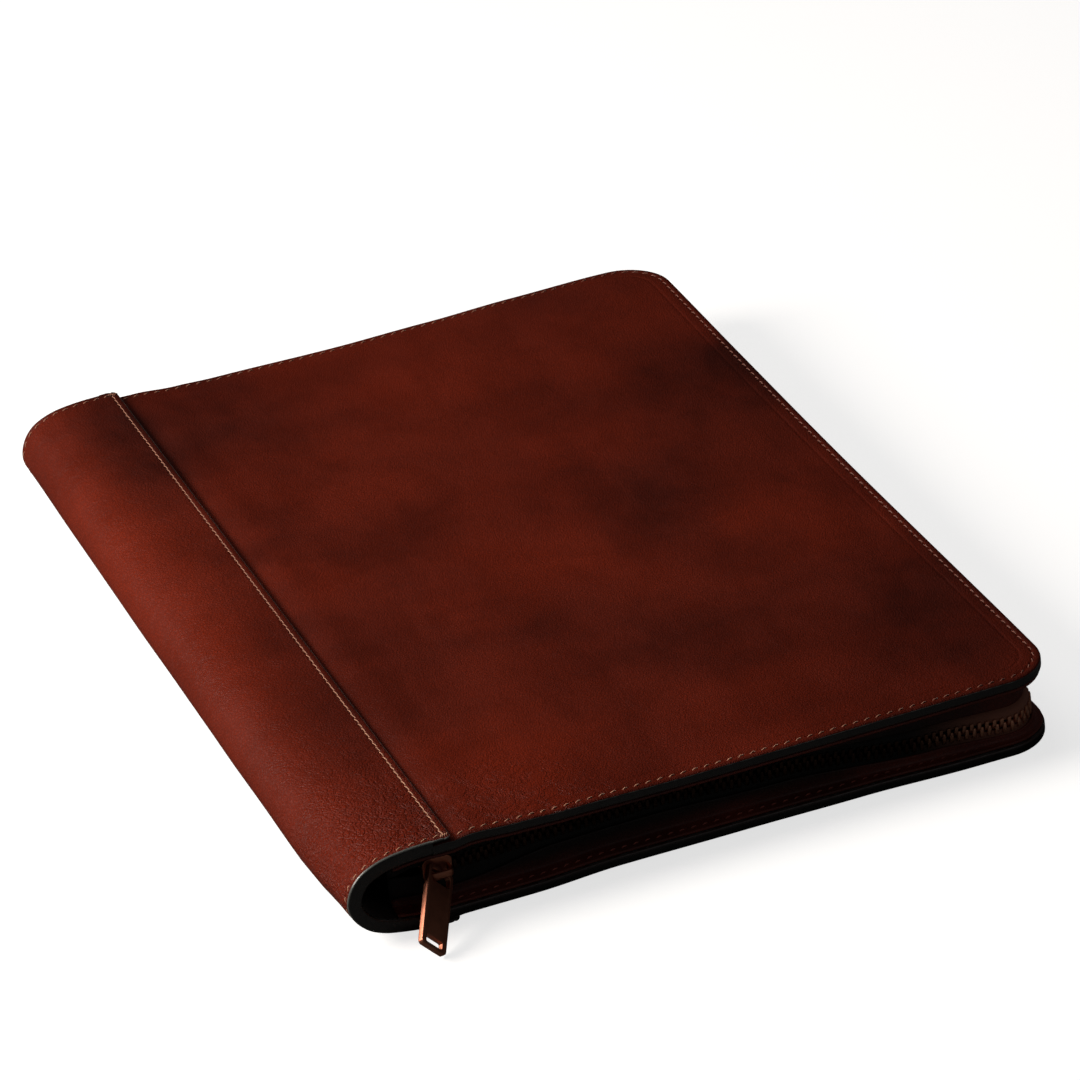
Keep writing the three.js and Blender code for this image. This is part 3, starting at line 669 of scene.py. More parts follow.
# the spine gets painted light on its flank and near end and painted shade at its foot
spineSkin = coverLeather("spineLeather", grain=1.9, wrinkles=0.5, pebble=1.25, broad=0.8, paintedLightAmount=0.36)
edgePaint = edgePaintMaterial()
suedeLining = liningMaterial()
gussetLeather = gussetMaterial()
creamThread = threadMaterial("creamThread", threadLook["cream"])
redThread = threadMaterial("redThread", threadLook["red"])
tapeWeave = tapeMaterial()
copperMetal = metalMaterial("copperMetal", metalLook["copper"])
toothMetal = metalMaterial("toothMetal", metalLook["tooth"])
print("materials made")

# Covers
border = {
    "stitch": 2.6, "groove": 0.24, "grooveWidth": 0.5, "crease": 7.0, "creaseDepth": 0.16,
    "creaseWidth": 0.55, "fall": 0.35, "uneven": 0.13, "lumpSize": 38,
    "fromLap": (-1.5, 3), "lumpsFrom": (3, 12),
}
outerInsets = [0.9, 1.3, 1.6, 1.9, 2.15, 2.35, 2.5, 2.6, 2.7, 2.85, 3.05, 3.4, 3.9, 4.6, 5.3, 5.9,
               6.3, 6.6, 6.8, 7.0, 7.2, 7.4, 7.7, 8.2, 9, 10.2, 12, 14.5, 17.5, 21, 25, 29, 33, 37,
               41, 45, 50, 55, 60, 66, 72, 78, 84, 90, 96, 102, 108, 115, 122, 130, 138, 146, 154,
               162, 169, 173.5]
innerInsets = [0.9, 2, 5, 12, 25, 45, 70, 100, 130, 160, 173.5]
# inset, depth below the face: the painted edge, rounded at both arrises
edgeRows = [(0.9, 0), (0.55, 0.07), (0.3, 0.2), (0.12, 0.42), (0.02, 0.75), (0, 1.2), (0, 1.7),
            (0, 2.3), (0, 2.8), (0.02, 3.25), (0.12, 3.58), (0.3, 3.8), (0.55, 3.93), (0.9, 4)]


def furrow(distance, width):
    return np.exp(-(distance / width) ** 2)


# Depth of the stitched groove and of the pressed crease at a distance from the edge
def borderRelief(inset, x):
    groove = border["groove"] * furrow(inset - border["stitch"], border["grooveWidth"])
    crease = border["creaseDepth"] * furrow(inset - border["crease"], border["creaseWidth"])
    fall = border["fall"] * ease(1 - inset / border["crease"])
    return (groove + crease + fall) * ramp(x - lapEdge, *border["fromLap"])


def makeCover(name, surface, outward, pad, seed):
    def ring(inset, height):
        plan = coverOutline(inset)
        z = height(plan[:, 0], plan[:, 1])
        points = np.column_stack([plan, z])
        return np.vstack([points, points[:1]])

    def outer(inset):
        def height(x, y):
            swell = pad * ramp(inset, case["padBorder"], case["padSlope"])
            swell = swell * ramp(x, lapEdge, case["seamSlope"])
            share = border["uneven"] * ramp(inset, *border["lumpsFrom"]) * (1 if outward > 0 else -0.3)
            lumps = share * undulation(x, y, 0 * x, border["lumpSize"], seed)
            return surface(x, y) + outward * (swell - borderRelief(inset, x) + lumps)
        return height

    def inner(x, y):
        return surface(x, y) - outward * case["cover"]

    def wall(depth):
        def height(x, y):
            # the drop of the border carries on down the edge and fades out at its other arris
            drop = borderRelief(edgeRows[0][0], x) * (1 - depth / case["cover"])
            return surface(x, y) - outward * (depth + drop)
        return height

    outerRings = np.array([ring(inset, outer(inset)) for inset in outerInsets])
    innerRings = np.array([ring(inset, inner) for inset in innerInsets])
    wallRings = np.array([ring(inset, wall(depth)) for inset, depth in edgeRows])
    rims = np.array(outerInsets)[:, None]
    wallRims = -np.array([depth for inset, depth in edgeRows[3:]])[:, None]
    grids = [(outerRings, 0, rims), (wallRings[:4], 0, 0.3), (wallRings[3:], 1, wallRims),
             (innerRings, 2, 9.0)]
    for rings, slot in ((outerRings, 0), (innerRings, 2)):
        middle = rings[-1].mean(0)
        grids.append((np.array([rings[-1], np.broadcast_to(middle, rings[-1].shape)]), slot, 99.0))
    return skin(name, grids, [coverSkin, edgePaint, suedeLining])


frontCover = makeCover("frontCover", frontTop, 1, case["padRise"], 1)
backCover = makeCover("backCover", backUnder, -1, 0, 2)
placePiece(frontCover, "case", ["front_cover"])
placePiece(backCover, "case", ["back_cover"])
print("covers:", len(frontCover.data.polygons), len(backCover.data.polygons), "faces")

# Spine panel
spine = {
    "seam": -88.9, "seamGroove": 0.26, "grooveWidth": 0.42, "round": 0.85, "lapRound": 2.2,
    "lapSwell": 0.25, "steps": 120, "rows": 108, "endRows": 12, "uneven": 0.22, "lumpSize": 42,
    "endZone": 8, "bulgeFrom": (8, 22), "lumpsFromEnd": (3, 10), "lumpsFromLap": (6, 8),
    "rimPastLap": 1.2, "paintFrom": 0.2, "paintTo": 2.2,
    "bulgeAt": (0, .03, .07, .12, .3, .5, .7, .9, 1), "bulge": (0, .7, 1.9, 2.5, 2.3, 1.8, 1.2, .3, 0),
}
seamSamples = [-.25, -.7, -1.1, -1.45, -1.75, -2.0, -2.2, -2.3, -2.4, -2.6, -2.85, -3.2, -3.8,
               -4.6, -5.5]
endSamples = [0, .35, .7, 1.0, 1.25, 1.45, 1.6, 1.75, 1.9, 2.1, 2.4, 2.8, 3.5, 4.5, 6, 8]


def spineSection(share):
    outer = spineOuter(share)
    lap, wall = offsetLine(outer, case["lap"]), offsetLine(outer, case["spineWall"])
    step = coverEnd - case["gap"]
    lapX = lapEdge + np.array(seamSamples + [step + 0.2 - lapEdge])
    keep = outer[:, 0] < step
    arc = outer[keep]
    length = np.concatenate([[0], np.cumsum(np.linalg.norm(np.diff(arc, axis=0), axis=1))])
    even = np.linspace(0, length[-1], spine["steps"])

    def flatPart(line, half):
        return np.stack([lapX, heightOn(halves(line)[half], lapX)], 1)

    def bentPart(line):
        return np.stack([np.interp(even, length, line[keep][:, axis]) for axis in (0, 1)], 1)

    return [np.concatenate([flatPart(flat, 0), bentPart(bent), flatPart(flat, 1)[::-1]])
            for flat, bent in ((outer, outer), (lap, wall))]


# How far the lap's corner is rounded back from the end
def lapCorner(x):
    r = spine["lapRound"]
    away = np.clip(r - (lapEdge - x), 0, r)
    return r - np.sqrt(r * r - away * away)


# From the outer to the inner arris: share of the thickness, and how far the rounding sets back
def wallSteps(radius, thickness):
    shares = (0, .12, .3, .6, 1)
    for fromInner in (False, True):
        for share in shares[::-1] if fromInner else shares:
            distance = share * radius
            setback = radius - np.sqrt(np.maximum(radius ** 2 - (radius - distance) ** 2, 0))
            yield (thickness - distance if fromInner else distance) / thickness, setback


def makeSpine():
    ends = [spineSection(0), spineSection(1)]
    inward = ends[0][1] - ends[0][0]
    thickness = np.linalg.norm(inward, axis=1)
    inward /= thickness[:, None]
    arris = np.minimum(spine["round"], 0.45 * thickness)

    step = (case["length"] - 2 * spine["endRows"]) / spine["rows"]
    middle = np.arange(-halfLength + spine["endRows"], halfLength - spine["endRows"] + 0.1, step)
    start = np.array(endSamples)
    stations = np.concatenate([start, middle + halfLength, case["length"] - start[::-1]])

    def row(place, inner):
        # stations count from the end's rounding, so that the rows stay even
        near, zone = place < halfLength, spine["endZone"]
        shift = np.clip(1 - place / zone if near else (place - case["length"] + zone) / zone, 0, 1)
        inwards = arris * shift + lapCorner(ends[0][inner][:, 0]) * ease(shift * 1.25)
        y = place - halfLength + (1 if near else -1) * inwards
        share = ((y + halfLength) / case["length"])[:, None]
        points = ends[0][inner] * (1 - share) + ends[1][inner] * share
        bulge = np.interp(share[:, 0], spine["bulgeAt"], spine["bulge"])
        points[:, 0] -= bulge * ramp(lapEdge - points[:, 0], *spine["bulgeFrom"])
        if not inner:
            x = points[:, 0]
            fromEnd = halfLength - np.abs(y)
            groove = furrow(fromEnd - border["stitch"], border["grooveWidth"]) * border["groove"]
            seam = furrow(x - spine["seam"], spine["grooveWidth"]) * spine["seamGroove"]
            lumps = undulation(x, y, points[:, 1], spine["lumpSize"], 3) * spine["uneven"]
            calm = ramp(fromEnd, *spine["lumpsFromEnd"]) * ramp(lapEdge - x, *spine["lumpsFromLap"])
            points = points + inward * (groove + seam + lumps * calm)[:, None]
        return np.column_stack([points[:, 0], y, points[:, 1]])

    outerGrid = np.array([row(place, 0) for place in stations])
    innerGrid = np.array([row(place, 1) for place in stations])
    fromEnd = halfLength - np.abs(outerGrid[:, :, 1])
    rims = np.minimum(fromEnd, np.abs(lapEdge - outerGrid[:, :, 0]) + spine["rimPastLap"])
    grids = [(innerGrid, 2, 9.0), (outerGrid, 0, rims)]
    for end, side in ((0, -1), (-1, 1)):
        a, b = outerGrid[end][:, [0, 2]], innerGrid[end][:, [0, 2]]
        rows, depths = [], []
        for way, setback in wallSteps(arris, thickness):
            point = a + (b - a) * way[:, None]
            y = side * (halfLength - setback - lapCorner(point[:, 0]))
            rows.append(np.column_stack([point[:, 0], y, point[:, 1]]))
            depths.append(-np.minimum(way * thickness + spine["paintFrom"], spine["paintTo"]))
        grids.append((np.array(rows), 1, np.array(depths)))
    # the laps' own edges
    for column in (0, -1):
        a, b = outerGrid[:, column], innerGrid[:, column]
        swell = np.array([spine["lapSwell"], 0, 0])
        rows = [a + (b - a) * way + swell * (1 - setback / arris[column])
                for way, setback in wallSteps(arris[column], thickness[column])]
        grids.append((np.array(rows), 1, 0.0))
    return skin("spinePanel", grids, [spineSkin, edgePaint, suedeLining])


spinePanel = makeSpine()
placePiece(spinePanel, "case", ["spine_panel"])
print("spine:", len(spinePanel.data.polygons), "faces")

# Zip run, gussets and tapes
strips = {
    "zipTail": 14 - coverEnd, "zipInset": 8, "rim": 0.8, "bend": 1.6, "bendMiddle": 0.3,
    "upperWall": 7.3, "shareAtSlider": 0.42, "gussetShare": 0.78, "lowFrom": (50, 35), "gusset": 1,
    "tape": 0.7, "tapeLap": 1.6, "tapeFlat": 2.4, "tapeFlatMost": 0.45, "tapeEdge": 1.7,
    "chain": 5.4, "sliderCentre": coverEnd + 2.2, "sliderLength": 10, "tailOpening": 2,
    "step": 2.6, "worn": 0.27, "underSlider": 1.5, "pastSlider": 5,
}


# Stops round the three open sides: place on the covers' edge, outward direction, share of the way
def edgeRun(step):
    cornerX, cornerY = openSide - case["corner"], halfLength - case["corner"]
    straight, side, arc = cornerX + strips["zipTail"], 2 * cornerY, math.pi / 2 * case["corner"]
    total = 2 * straight + 2 * arc + side
    distances = np.linspace(0, total, int(total / step))
    stops = []
    for d in distances:
        mirrored = d > total / 2
        s = total - d if mirrored else d
        if s < straight:
            x, y, out = s - strips["zipTail"], -halfLength, (0, -1)
        elif s < straight + arc:
            angle = -math.pi / 2 + (s - straight) / case["corner"]
            out = (math.cos(angle), math.sin(angle))
            x, y = cornerX + case["corner"] * out[0], -cornerY + case["corner"] * out[1]
        else:
            y = s - straight - arc - cornerY
            x, out = openSide - float(pullIn(y)), (1, 0)
        if mirrored:
            y, out = -y, (out[0], -out[1])
        stops.append((d / total, x, y, out[0], out[1]))
    return np.array(stops)


run = edgeRun(strips["step"])


def zipPlace(stop):
    along, x, y = stop[:3]
    floorX = max(x, coverEnd)
    floor = float(backUnder(np.array(floorX), y)) + case["cover"]
    roof = float(frontTop(np.array(floorX), y)) - case["cover"]
    if x <= coverEnd:
        wallX = min(x, coverEnd - case["gap"])
        floor = max(0 if x < coverEnd else floor, float(betweenEnds(wallEnds, 1, wallX, y)))
        roof = min(case["height"] if x < coverEnd else roof, float(betweenEnds(wallEnds, 0, wallX, y)))
    height, inset = (float(readTable(zipRun, along, column)) for column in (1, 2))
    return (floor + case["gap"], roof - case["gap"], case["height"] * height,
            strips["zipInset"] * inset)


def gussetLine(stop, side):
    floor, roof, height, inset = zipPlace(stop)
    gusset, bend = strips["gusset"], strips["bend"]
    face = floor if side < 0 else roof
    level = face - side * gusset / 2
    wall = inset - gusset - case["gap"] if side < 0 else strips["upperWall"] - gusset / 2
    way = abs(height - face) - strips["chain"] / 2
    # the walls stay low beside the slider
    lower = strips["gussetShare"] - strips["shareAtSlider"]
    lower = lower * float(ramp(-stop[1], *strips["lowFrom"]))
    top = max((strips["gussetShare"] - lower) * way, bend + gusset / 2 + case["gap"])
    middle = strips["bendMiddle"] * bend
    return np.array([
        (strips["rim"], level), (wall - bend, level), (wall - middle, level - side * middle),
        (wall, level - side * bend), (wall, face - side * top),
    ])


def tapeLine(stop, side):
    height, inset = zipPlace(stop)[2:]
    wall, top = gussetLine(stop, side)[-1]
    behind = wall + strips["gusset"] / 2 + strips["tape"] / 2 + case["gap"]
    tail = abs(strips["sliderCentre"]) + strips["sliderLength"] / 2 + strips["tailOpening"]
    opened = ease((strips["zipTail"] + stop[1]) / (strips["zipTail"] - tail)) if stop[1] < -tail else 1
    slit = case["gap"] + (strips["tapeEdge"] - case["gap"]) * float(opened)
    edge = height + side * slit
    flat = min(strips["tapeFlat"] + strips["chain"] / 2 - slit,
               strips["tapeFlatMost"] * abs(top - edge) + 1)
    return np.array([(behind, top + side * strips["tapeLap"]), (behind, top),
                     (inset, edge + side * flat), (inset, edge)])


def rounded(line, passes=2):
    for _ in range(passes):
        cut = [line[:1]]
        for a, b in zip(line[:-1], line[1:]):
            cut.append(np.array([a * 0.75 + b * 0.25, a * 0.25 + b * 0.75]))
        line = np.concatenate(cut + [line[-1:]])
    return line


def makeStrip(name, lineAt, thickness, materials):
    rows, rims = [], []
    for stop in run:
        line = rounded(lineAt(stop))
        sides = [offsetLine(line, thickness / 2), offsetLine(line, -thickness / 2)[::-1]]
        # each edge ends in a ridge, worn round
        tips = []
        for tip, before in ((line[-1], sides[0][-2:]), (line[0], sides[0][1::-1])):
            ahead = before[1] - before[0]
            tips.append(tip + ahead / np.linalg.norm(ahead) * strips["worn"] * thickness)
        loop = np.concatenate([sides[0], [tips[0]], sides[1], [tips[1]], sides[0][:1]])
        rows.append(np.column_stack([stop[1] - stop[3] * loop[:, 0], stop[2] - stop[4] * loop[:, 0],
                                     loop[:, 1]]))
        rims.append(np.linalg.norm(loop - line[0], axis=1))
    rows = np.array(rows)
    grids = [(rows, 0, np.array(rims))]
    n = (rows.shape[1] - 3) // 2
    for end in (0, -1):
        one, other = rows[end][:n], rows[end][n + 1:2 * n + 1][::-1]
        grids.append((np.array([one, other]), 0, 0.0))
        for tip, a, b in ((rows[end][n], one[-1], other[-1]), (rows[end][-2], one[0], other[0])):
            grids.append((np.array([[a, tip], [b, tip]]), 0, 0.0))
    return skin(name, grids, materials)


# Lets the tapes' weave follow their length: distance along and height across, in metres
def layWeave(piece):
    cornerX, cornerY = openSide - case["corner"], halfLength - case["corner"]
    co = np.zeros(len(piece.data.vertices) * 3)
    piece.data.vertices.foreach_get("co", co)
    co = co.reshape(-1, 3) / mm
    x, y = co[:, 0], co[:, 1]
    angle = np.arctan2(y - np.sign(y) * cornerY, np.maximum(x - cornerX, 1e-9))
    arc = math.pi / 2 * case["corner"]
    inCorner = (x > cornerX) & (np.abs(y) > cornerY)
    along = np.where(inCorner, np.sign(y) * (cornerY + np.abs(angle) * case["corner"]),
                     np.where(np.abs(y) > cornerY, np.sign(y) * (cornerY + arc + cornerX - x), y))
    cloth = piece.data.attributes.new("cloth", "FLOAT_VECTOR", "POINT")
    weave = np.column_stack([along, co[:, 2], 0 * x]) * mm
    cloth.data.foreach_set("vector", weave.astype(np.float32).reshape(-1))


for name, lineAt, side, node in (("lowerGusset", gussetLine, -1, "lower_gusset"),
                                 ("upperGusset", gussetLine, 1, "upper_gusset"),
                                 ("tapeLower", tapeLine, -1, "zip_tape_lower"),
                                 ("tapeUpper", tapeLine, 1, "zip_tape_upper")):
    isTape = lineAt is tapeLine
    strip = makeStrip(name, lambda stop: lineAt(stop, side), strips["tape" if isTape else "gusset"],
                      [tapeWeave if isTape else gussetLeather])
    placePiece(strip, "case", [node])
    if isTape:
        layWeave(strip)
print("gussets and tapes made")


# Geometry Nodes: a row of things set along a path that has an "up" direction at each point
def pathObject(name, points, ups):
    mesh = bpy.data.meshes.new(name)
    edges = [(i, i + 1) for i in range(len(points) - 1)]
    mesh.from_pydata((np.array(points) * mm).tolist(), edges, [])
    layer = mesh.attributes.new("up", "FLOAT_VECTOR", "POINT")
    layer.data.foreach_set("vector", np.array(ups, np.float32).reshape(-1))
    return addObject(name, mesh)


# Points along the path at the pitch, with the rotation that lays X along it and Z up
def pointsOnPath(tree, inside):
    curve = put(tree, "GeometryNodeMeshToCurve", {"Mesh": inside.outputs["Geometry"]})
    trimmed = put(tree, "GeometryNodeTrimCurve", {"Curve": curve.outputs[0]}, mode="LENGTH")
    tree.links.new(inside.outputs["Start"], trimmed.inputs[4])
    length = put(tree, "GeometryNodeCurveLength", {"Curve": curve.outputs[0]})
    tree.links.new(length.outputs[0], trimmed.inputs[5])
    even = put(tree, "GeometryNodeResampleCurve",
               {"Curve": trimmed.outputs[0], "Length": inside.outputs["Pitch"]}, mode="LENGTH")
    tangent = tree.nodes.new("GeometryNodeInputTangent")
    up = put(tree, "GeometryNodeInputNamedAttribute", {"Name": "up"}, data_type="FLOAT_VECTOR")
    lay = put(tree, "FunctionNodeAlignRotationToVector", {"Vector": tangent.outputs[0]}, axis="X")
    stand = put(tree, "FunctionNodeAlignRotationToVector",
                {"Rotation": lay.outputs[0], "Vector": up.outputs["Attribute"]},
                axis="Z", pivot_axis="X")
    return even.outputs[0], stand.outputs[0]


# Instances a thing on the points, each turned by its own small angle, as one mesh of one material
def setAlong(tree, inside, out, points, thing, rotation, axis, lean, material):
    spin = put(tree, "FunctionNodeRandomValue", {
        2: times(tree, inside.outputs["Unevenness"], -1.0), 3: inside.outputs["Unevenness"],
        "Seed": inside.outputs["Seed"]}, data_type="FLOAT").outputs[1]
    angle = spin if lean is None else addUp(tree, spin, lean)
    turn = put(tree, "FunctionNodeAxisAngleToRotation", {"Axis": axis, "Angle": angle})
    turned = put(tree, "FunctionNodeRotateRotation",
                 {"Rotation": rotation, "Rotate By": turn.outputs[0]}, rotation_space="LOCAL")
    placed = put(tree, "GeometryNodeInstanceOnPoints",
                 {"Points": points, "Instance": thing, "Rotation": turned.outputs[0]})
    real = put(tree, "GeometryNodeRealizeInstances", {"Geometry": placed.outputs[0]})
    finish = put(tree, "GeometryNodeSetMaterial", {"Geometry": real.outputs[0], "Material": material})
    tree.links.new(finish.outputs[0], out.inputs["Geometry"])


def buildStitchTree():
    tree, inside, out = newTree("GeometryNodeTree", "stitchRow", [
        ("Geometry", "NodeSocketGeometry", None),
        ("Pitch", "NodeSocketFloat", 0.004), ("Start", "NodeSocketFloat", 0.001),
        ("Length", "NodeSocketFloat", 0.003), ("Thickness", "NodeSocketFloat", 0.0006),
        ("Rise", "NodeSocketFloat", 0.0003), ("Slant", "NodeSocketFloat", 0.1),
        ("Unevenness", "NodeSocketFloat", 0.06), ("Seed", "NodeSocketInt", 1),
        ("Thread", "NodeSocketMaterial", None),
    ], [("Geometry", "NodeSocketGeometry")])
    points, rotation = pointsOnPath(tree, inside)
    length, rise = inside.outputs["Length"], inside.outputs["Rise"]
    start, middle, end = (
        put(tree, "ShaderNodeCombineXYZ", {"X": times(tree, length, x), "Z": times(tree, rise, z)})
        .outputs[0] for x, z in ((-0.5, -1.6), (0.0, 2.6), (0.5, -1.6)))
    arc = put(tree, "GeometryNodeCurveQuadraticBezier",
              {"Resolution": 8, "Start": start, "Middle": middle, "End": end})
    circle = put(tree, "GeometryNodeCurvePrimitiveCircle", {
        "Resolution": 6, "Radius": times(tree, inside.outputs["Thickness"], 0.5)}, mode="RADIUS")
    # along and round the thread, for its twist
    spot = tree.nodes.new("GeometryNodeSplineParameter")
    marks = []
    for curve, output in ((arc, "Length"), (circle, "Factor")):
        mark = put(tree, "GeometryNodeCaptureAttribute", {"Geometry": curve.outputs[0]})
        mark.capture_items.new("FLOAT", output)
        tree.links.new(spot.outputs[output], mark.inputs[1])
        marks.append(mark.outputs)
    thread = put(tree, "GeometryNodeCurveToMesh",
                 {"Curve": marks[0][0], "Profile Curve": marks[1][0], "Fill Caps": True})
    strand = put(tree, "ShaderNodeCombineXYZ", {"X": marks[0][1], "Y": marks[1][1]})
    marked = put(tree, "GeometryNodeStoreNamedAttribute",
                 {"Geometry": thread.outputs[0], "Name": "strand", "Value": strand.outputs[0]},
                 data_type="FLOAT_VECTOR")
    smooth = put(tree, "GeometryNodeSetShadeSmooth", {"Geometry": marked.outputs[0]})
    setAlong(tree, inside, out, points, smooth.outputs[0], rotation, (0, 0, 1),
             inside.outputs["Slant"], inside.outputs["Thread"])
    return tree


def buildToothTree():
    tree, inside, out = newTree("GeometryNodeTree", "toothRow", [
        ("Geometry", "NodeSocketGeometry", None),
        ("Pitch", "NodeSocketFloat", 0.00265), ("Start", "NodeSocketFloat", 0.0),
        ("Tooth", "NodeSocketObject", None), ("Unevenness", "NodeSocketFloat", 0.02),
        ("Seed", "NodeSocketInt", 1), ("Metal", "NodeSocketMaterial", None),
    ], [("Geometry", "NodeSocketGeometry")])
    points, rotation = pointsOnPath(tree, inside)
    thing = put(tree, "GeometryNodeObjectInfo", {"Object": inside.outputs["Tooth"]}).outputs["Geometry"]
    setAlong(tree, inside, out, points, thing, rotation, (0, 1, 0), None, inside.outputs["Metal"])
    return tree


# Runs a tree on a path with its named inputs and leaves a plain mesh under the piece's name
def rowOnPath(name, path, tree, values):
    modifier = path.modifiers.new("row", "NODES")
    modifier.node_group = tree
    for item in tree.interface.items_tree:
        if item.item_type == "SOCKET" and item.in_out == "INPUT" and item.name in values:
            modifier[item.identifier] = values[item.name]
    path.update_tag()
    bpy.context.view_layer.update()
    evaluated = path.evaluated_get(bpy.context.evaluated_depsgraph_get())
    mesh = bpy.data.meshes.new_from_object(evaluated)
    mesh.name = name
    bpy.data.objects.remove(path)
    return addObject(name, mesh)


stitchTree = buildStitchTree()
toothTree = buildToothTree()

# Inputs of the stitch rows in metres; the places of the rows are in millimetres
stitch = {
    "Pitch": 0.004, "Length": 0.0021, "Thickness": 0.00044, "Rise": 0.00016, "Slant": 0.3,
    "Unevenness": 0.05, "Thread": creamThread,
}
seamStitch = {"Pitch": 0.0034, "Length": 0.0031, "Thickness": 0.0004, "Slant": 0.18}
tieStitch = {"Pitch": 0.00062, "Length": 0.0016, "Slant": 0.72}
sewing = {
    "sink": 0.16, "underSeamLift": 0.05, "seamStart": 3.2, "seamStep": 3.0, "seamClear": 1.0,
    "borderStart": 1.2, "flangeStart": 2, "flangeInset": 0.4, "flangeLift": 0.05,
}
tie = {"past": 0.5, "skew": 0.25, "sink": 0.02, "reach": (-1.6, 1.5), "points": 6}


def sewRow(name, points, ups, seed, **changes):
    path = pathObject(name + "Path", points, ups)
    values = {**stitch, "Seed": seed, **changes}
    return placePiece(rowOnPath(name, path, stitchTree, values), "case")


# Border rows lie on a ring of the cover's outline, on the three open sides only
def borderPath(surface, outward):
    plan = coverOutline(border["stitch"])[:-outlineSteps["seam"]]
    plan = plan[plan[:, 0] > lapEdge + sewing["borderStart"]]
    fall = border["fall"] * float(ease(1 - border["stitch"] / border["crease"]))
    sunk = border["groove"] + fall - sewing["sink"]
    z = surface(plan[:, 0], plan[:, 1]) - outward * sunk
    return np.column_stack([plan, z]), np.broadcast_to((0, 0, outward), (len(plan), 3))


sewRow("topBorderStitches", *borderPath(frontTop, 1), seed=1)
sewRow("underBorderStitches", *borderPath(backUnder, -1), seed=2)


# Rows on the spine panel
def seamPath(half):
    up = 1 if half == 0 else -1
    step = sewing["seamStep"]
    ys = np.arange(-halfLength + sewing["seamStart"], halfLength - step, step)
    sunk = spine["seamGroove"] - (sewing["sink"] if half == 0 else -sewing["underSeamLift"])
    points = [(spine["seam"], y, float(betweenEnds(outerEnds, half, spine["seam"], y)) - up * sunk)
              for y in ys]
    return points, np.broadcast_to((0, 0, up), (len(points), 3))


def endPath(side):
    y = side * (halfLength - border["stitch"])
    outer = spineOuter((y + halfLength) / case["length"])
    inner = offsetLine(outer, border["groove"] - sewing["sink"])
    keep = outer[:, 0] < spine["seam"] - sewing["seamClear"]
    ups = (outer - offsetLine(outer, 1.0))[keep]
    points = np.column_stack([inner[keep][:, 0], np.full(keep.sum(), y), inner[keep][:, 1]])
    return points, np.column_stack([ups[:, 0], 0 * ups[:, 0], ups[:, 1]])


sewRow("seamStitches", *seamPath(0), seed=3, **seamStitch)
sewRow("underSeamStitches", *seamPath(1), seed=4, **seamStitch)


# The seam's thread is tied off over the border row
def tiePath(side):
    y = side * (halfLength - border["stitch"] + tie["past"])
    points = []
    for x in np.linspace(*tie["reach"], tie["points"]):
        z = float(betweenEnds(outerEnds, 0, spine["seam"] + x, y)) - tie["sink"]
        points.append((spine["seam"] + x, y - side * tie["skew"] * x, z))
    return points, np.broadcast_to((0, 0, 1), (len(points), 3))


for side, name in ((-1, "nearTie"), (1, "farTie")):
    sewRow(name, *tiePath(side), seed=9, **tieStitch)
sewRow("nearEndStitches", *endPath(-1), seed=5)
sewRow("farEndStitches", *endPath(1), seed=6)


# Rows on the gussets' flanges, inside the case's mouth
def flangePath(side):
    points, ups = [], []
    inset = border["stitch"] + sewing["flangeInset"]
    for stop in run:
        if stop[1] < lapEdge - sewing["flangeStart"]:
            continue
        level = gussetLine(stop, side)[0][1] - side * (strips["gusset"] / 2 + sewing["flangeLift"])
        points.append((stop[1] - stop[3] * inset, stop[2] - stop[4] * inset, level))
        ups.append((0, 0, -side))
    return points, ups


sewRow("lowerFlangeStitches", *flangePath(-1), seed=7, Thread=redThread)
sewRow("upperFlangeStitches", *flangePath(1), seed=8, Thread=redThread)
print("stitches sewn")

# Zip teeth: legs that grip the tape's edge, and a head that reaches past the middle
tooth = {
    "pitch": 2.65, "length": 1.3, "thick": 2.2, "slot": 0.76, "reach": 2.7, "head": 0.75,
    "crotch": 1.35, "chamfer": (0.2, 0.25), "shoulder": 0.5, "arris": 0.11, "start": 0.2,
}


def makeTooth():
    y, s, reach = tooth["thick"] / 2, tooth["slot"] / 2, tooth["reach"]
    cutIn, cutDown = tooth["chamfer"]
    leg = [(s, tooth["crotch"]), (s, reach), (y - cutIn, reach), (y, reach - cutDown)]
    head = [(y, tooth["shoulder"]), (y * 0.72, -0.3), (y * 0.5, -tooth["head"])]
    outline = ([(-a, b) for a, b in leg[::-1]] + leg + head + [(-a, b) for a, b in head[::-1]])
    work = bmesh.new()
    near, far = ([work.verts.new(Vector((x, a, b)) * mm) for a, b in outline]
                 for x in (-tooth["length"] / 2, tooth["length"] / 2))
    count = len(outline)
    for i in range(count):
        work.faces.new((near[i], near[(i + 1) % count], far[(i + 1) % count], far[i]))
    work.faces.new(near)
    work.faces.new(far[::-1])
    bmesh.ops.recalc_face_normals(work, faces=work.faces)
    bmesh.ops.bevel(work, geom=work.edges[:], offset=tooth["arris"] * mm, segments=1, affect="EDGES")
    mesh = meshFrom(work, "toothShape")
    mesh.polygons.foreach_set("use_smooth", [True] * len(mesh.polygons))
    return addObject("toothShape", mesh)


def zipPath(side):
    points, ups = [], []
    for stop in run:
        clear = strips["underSlider"] if stop[2] < 0 else strips["pastSlider"]
        if stop[1] < strips["sliderCentre"] - clear:
            continue
        height, inset = zipPlace(stop)[2:]
        points.append((stop[1] - stop[3] * inset, stop[2] - stop[4] * inset, height))
        ups.append((0, 0, side))
    return points, ups


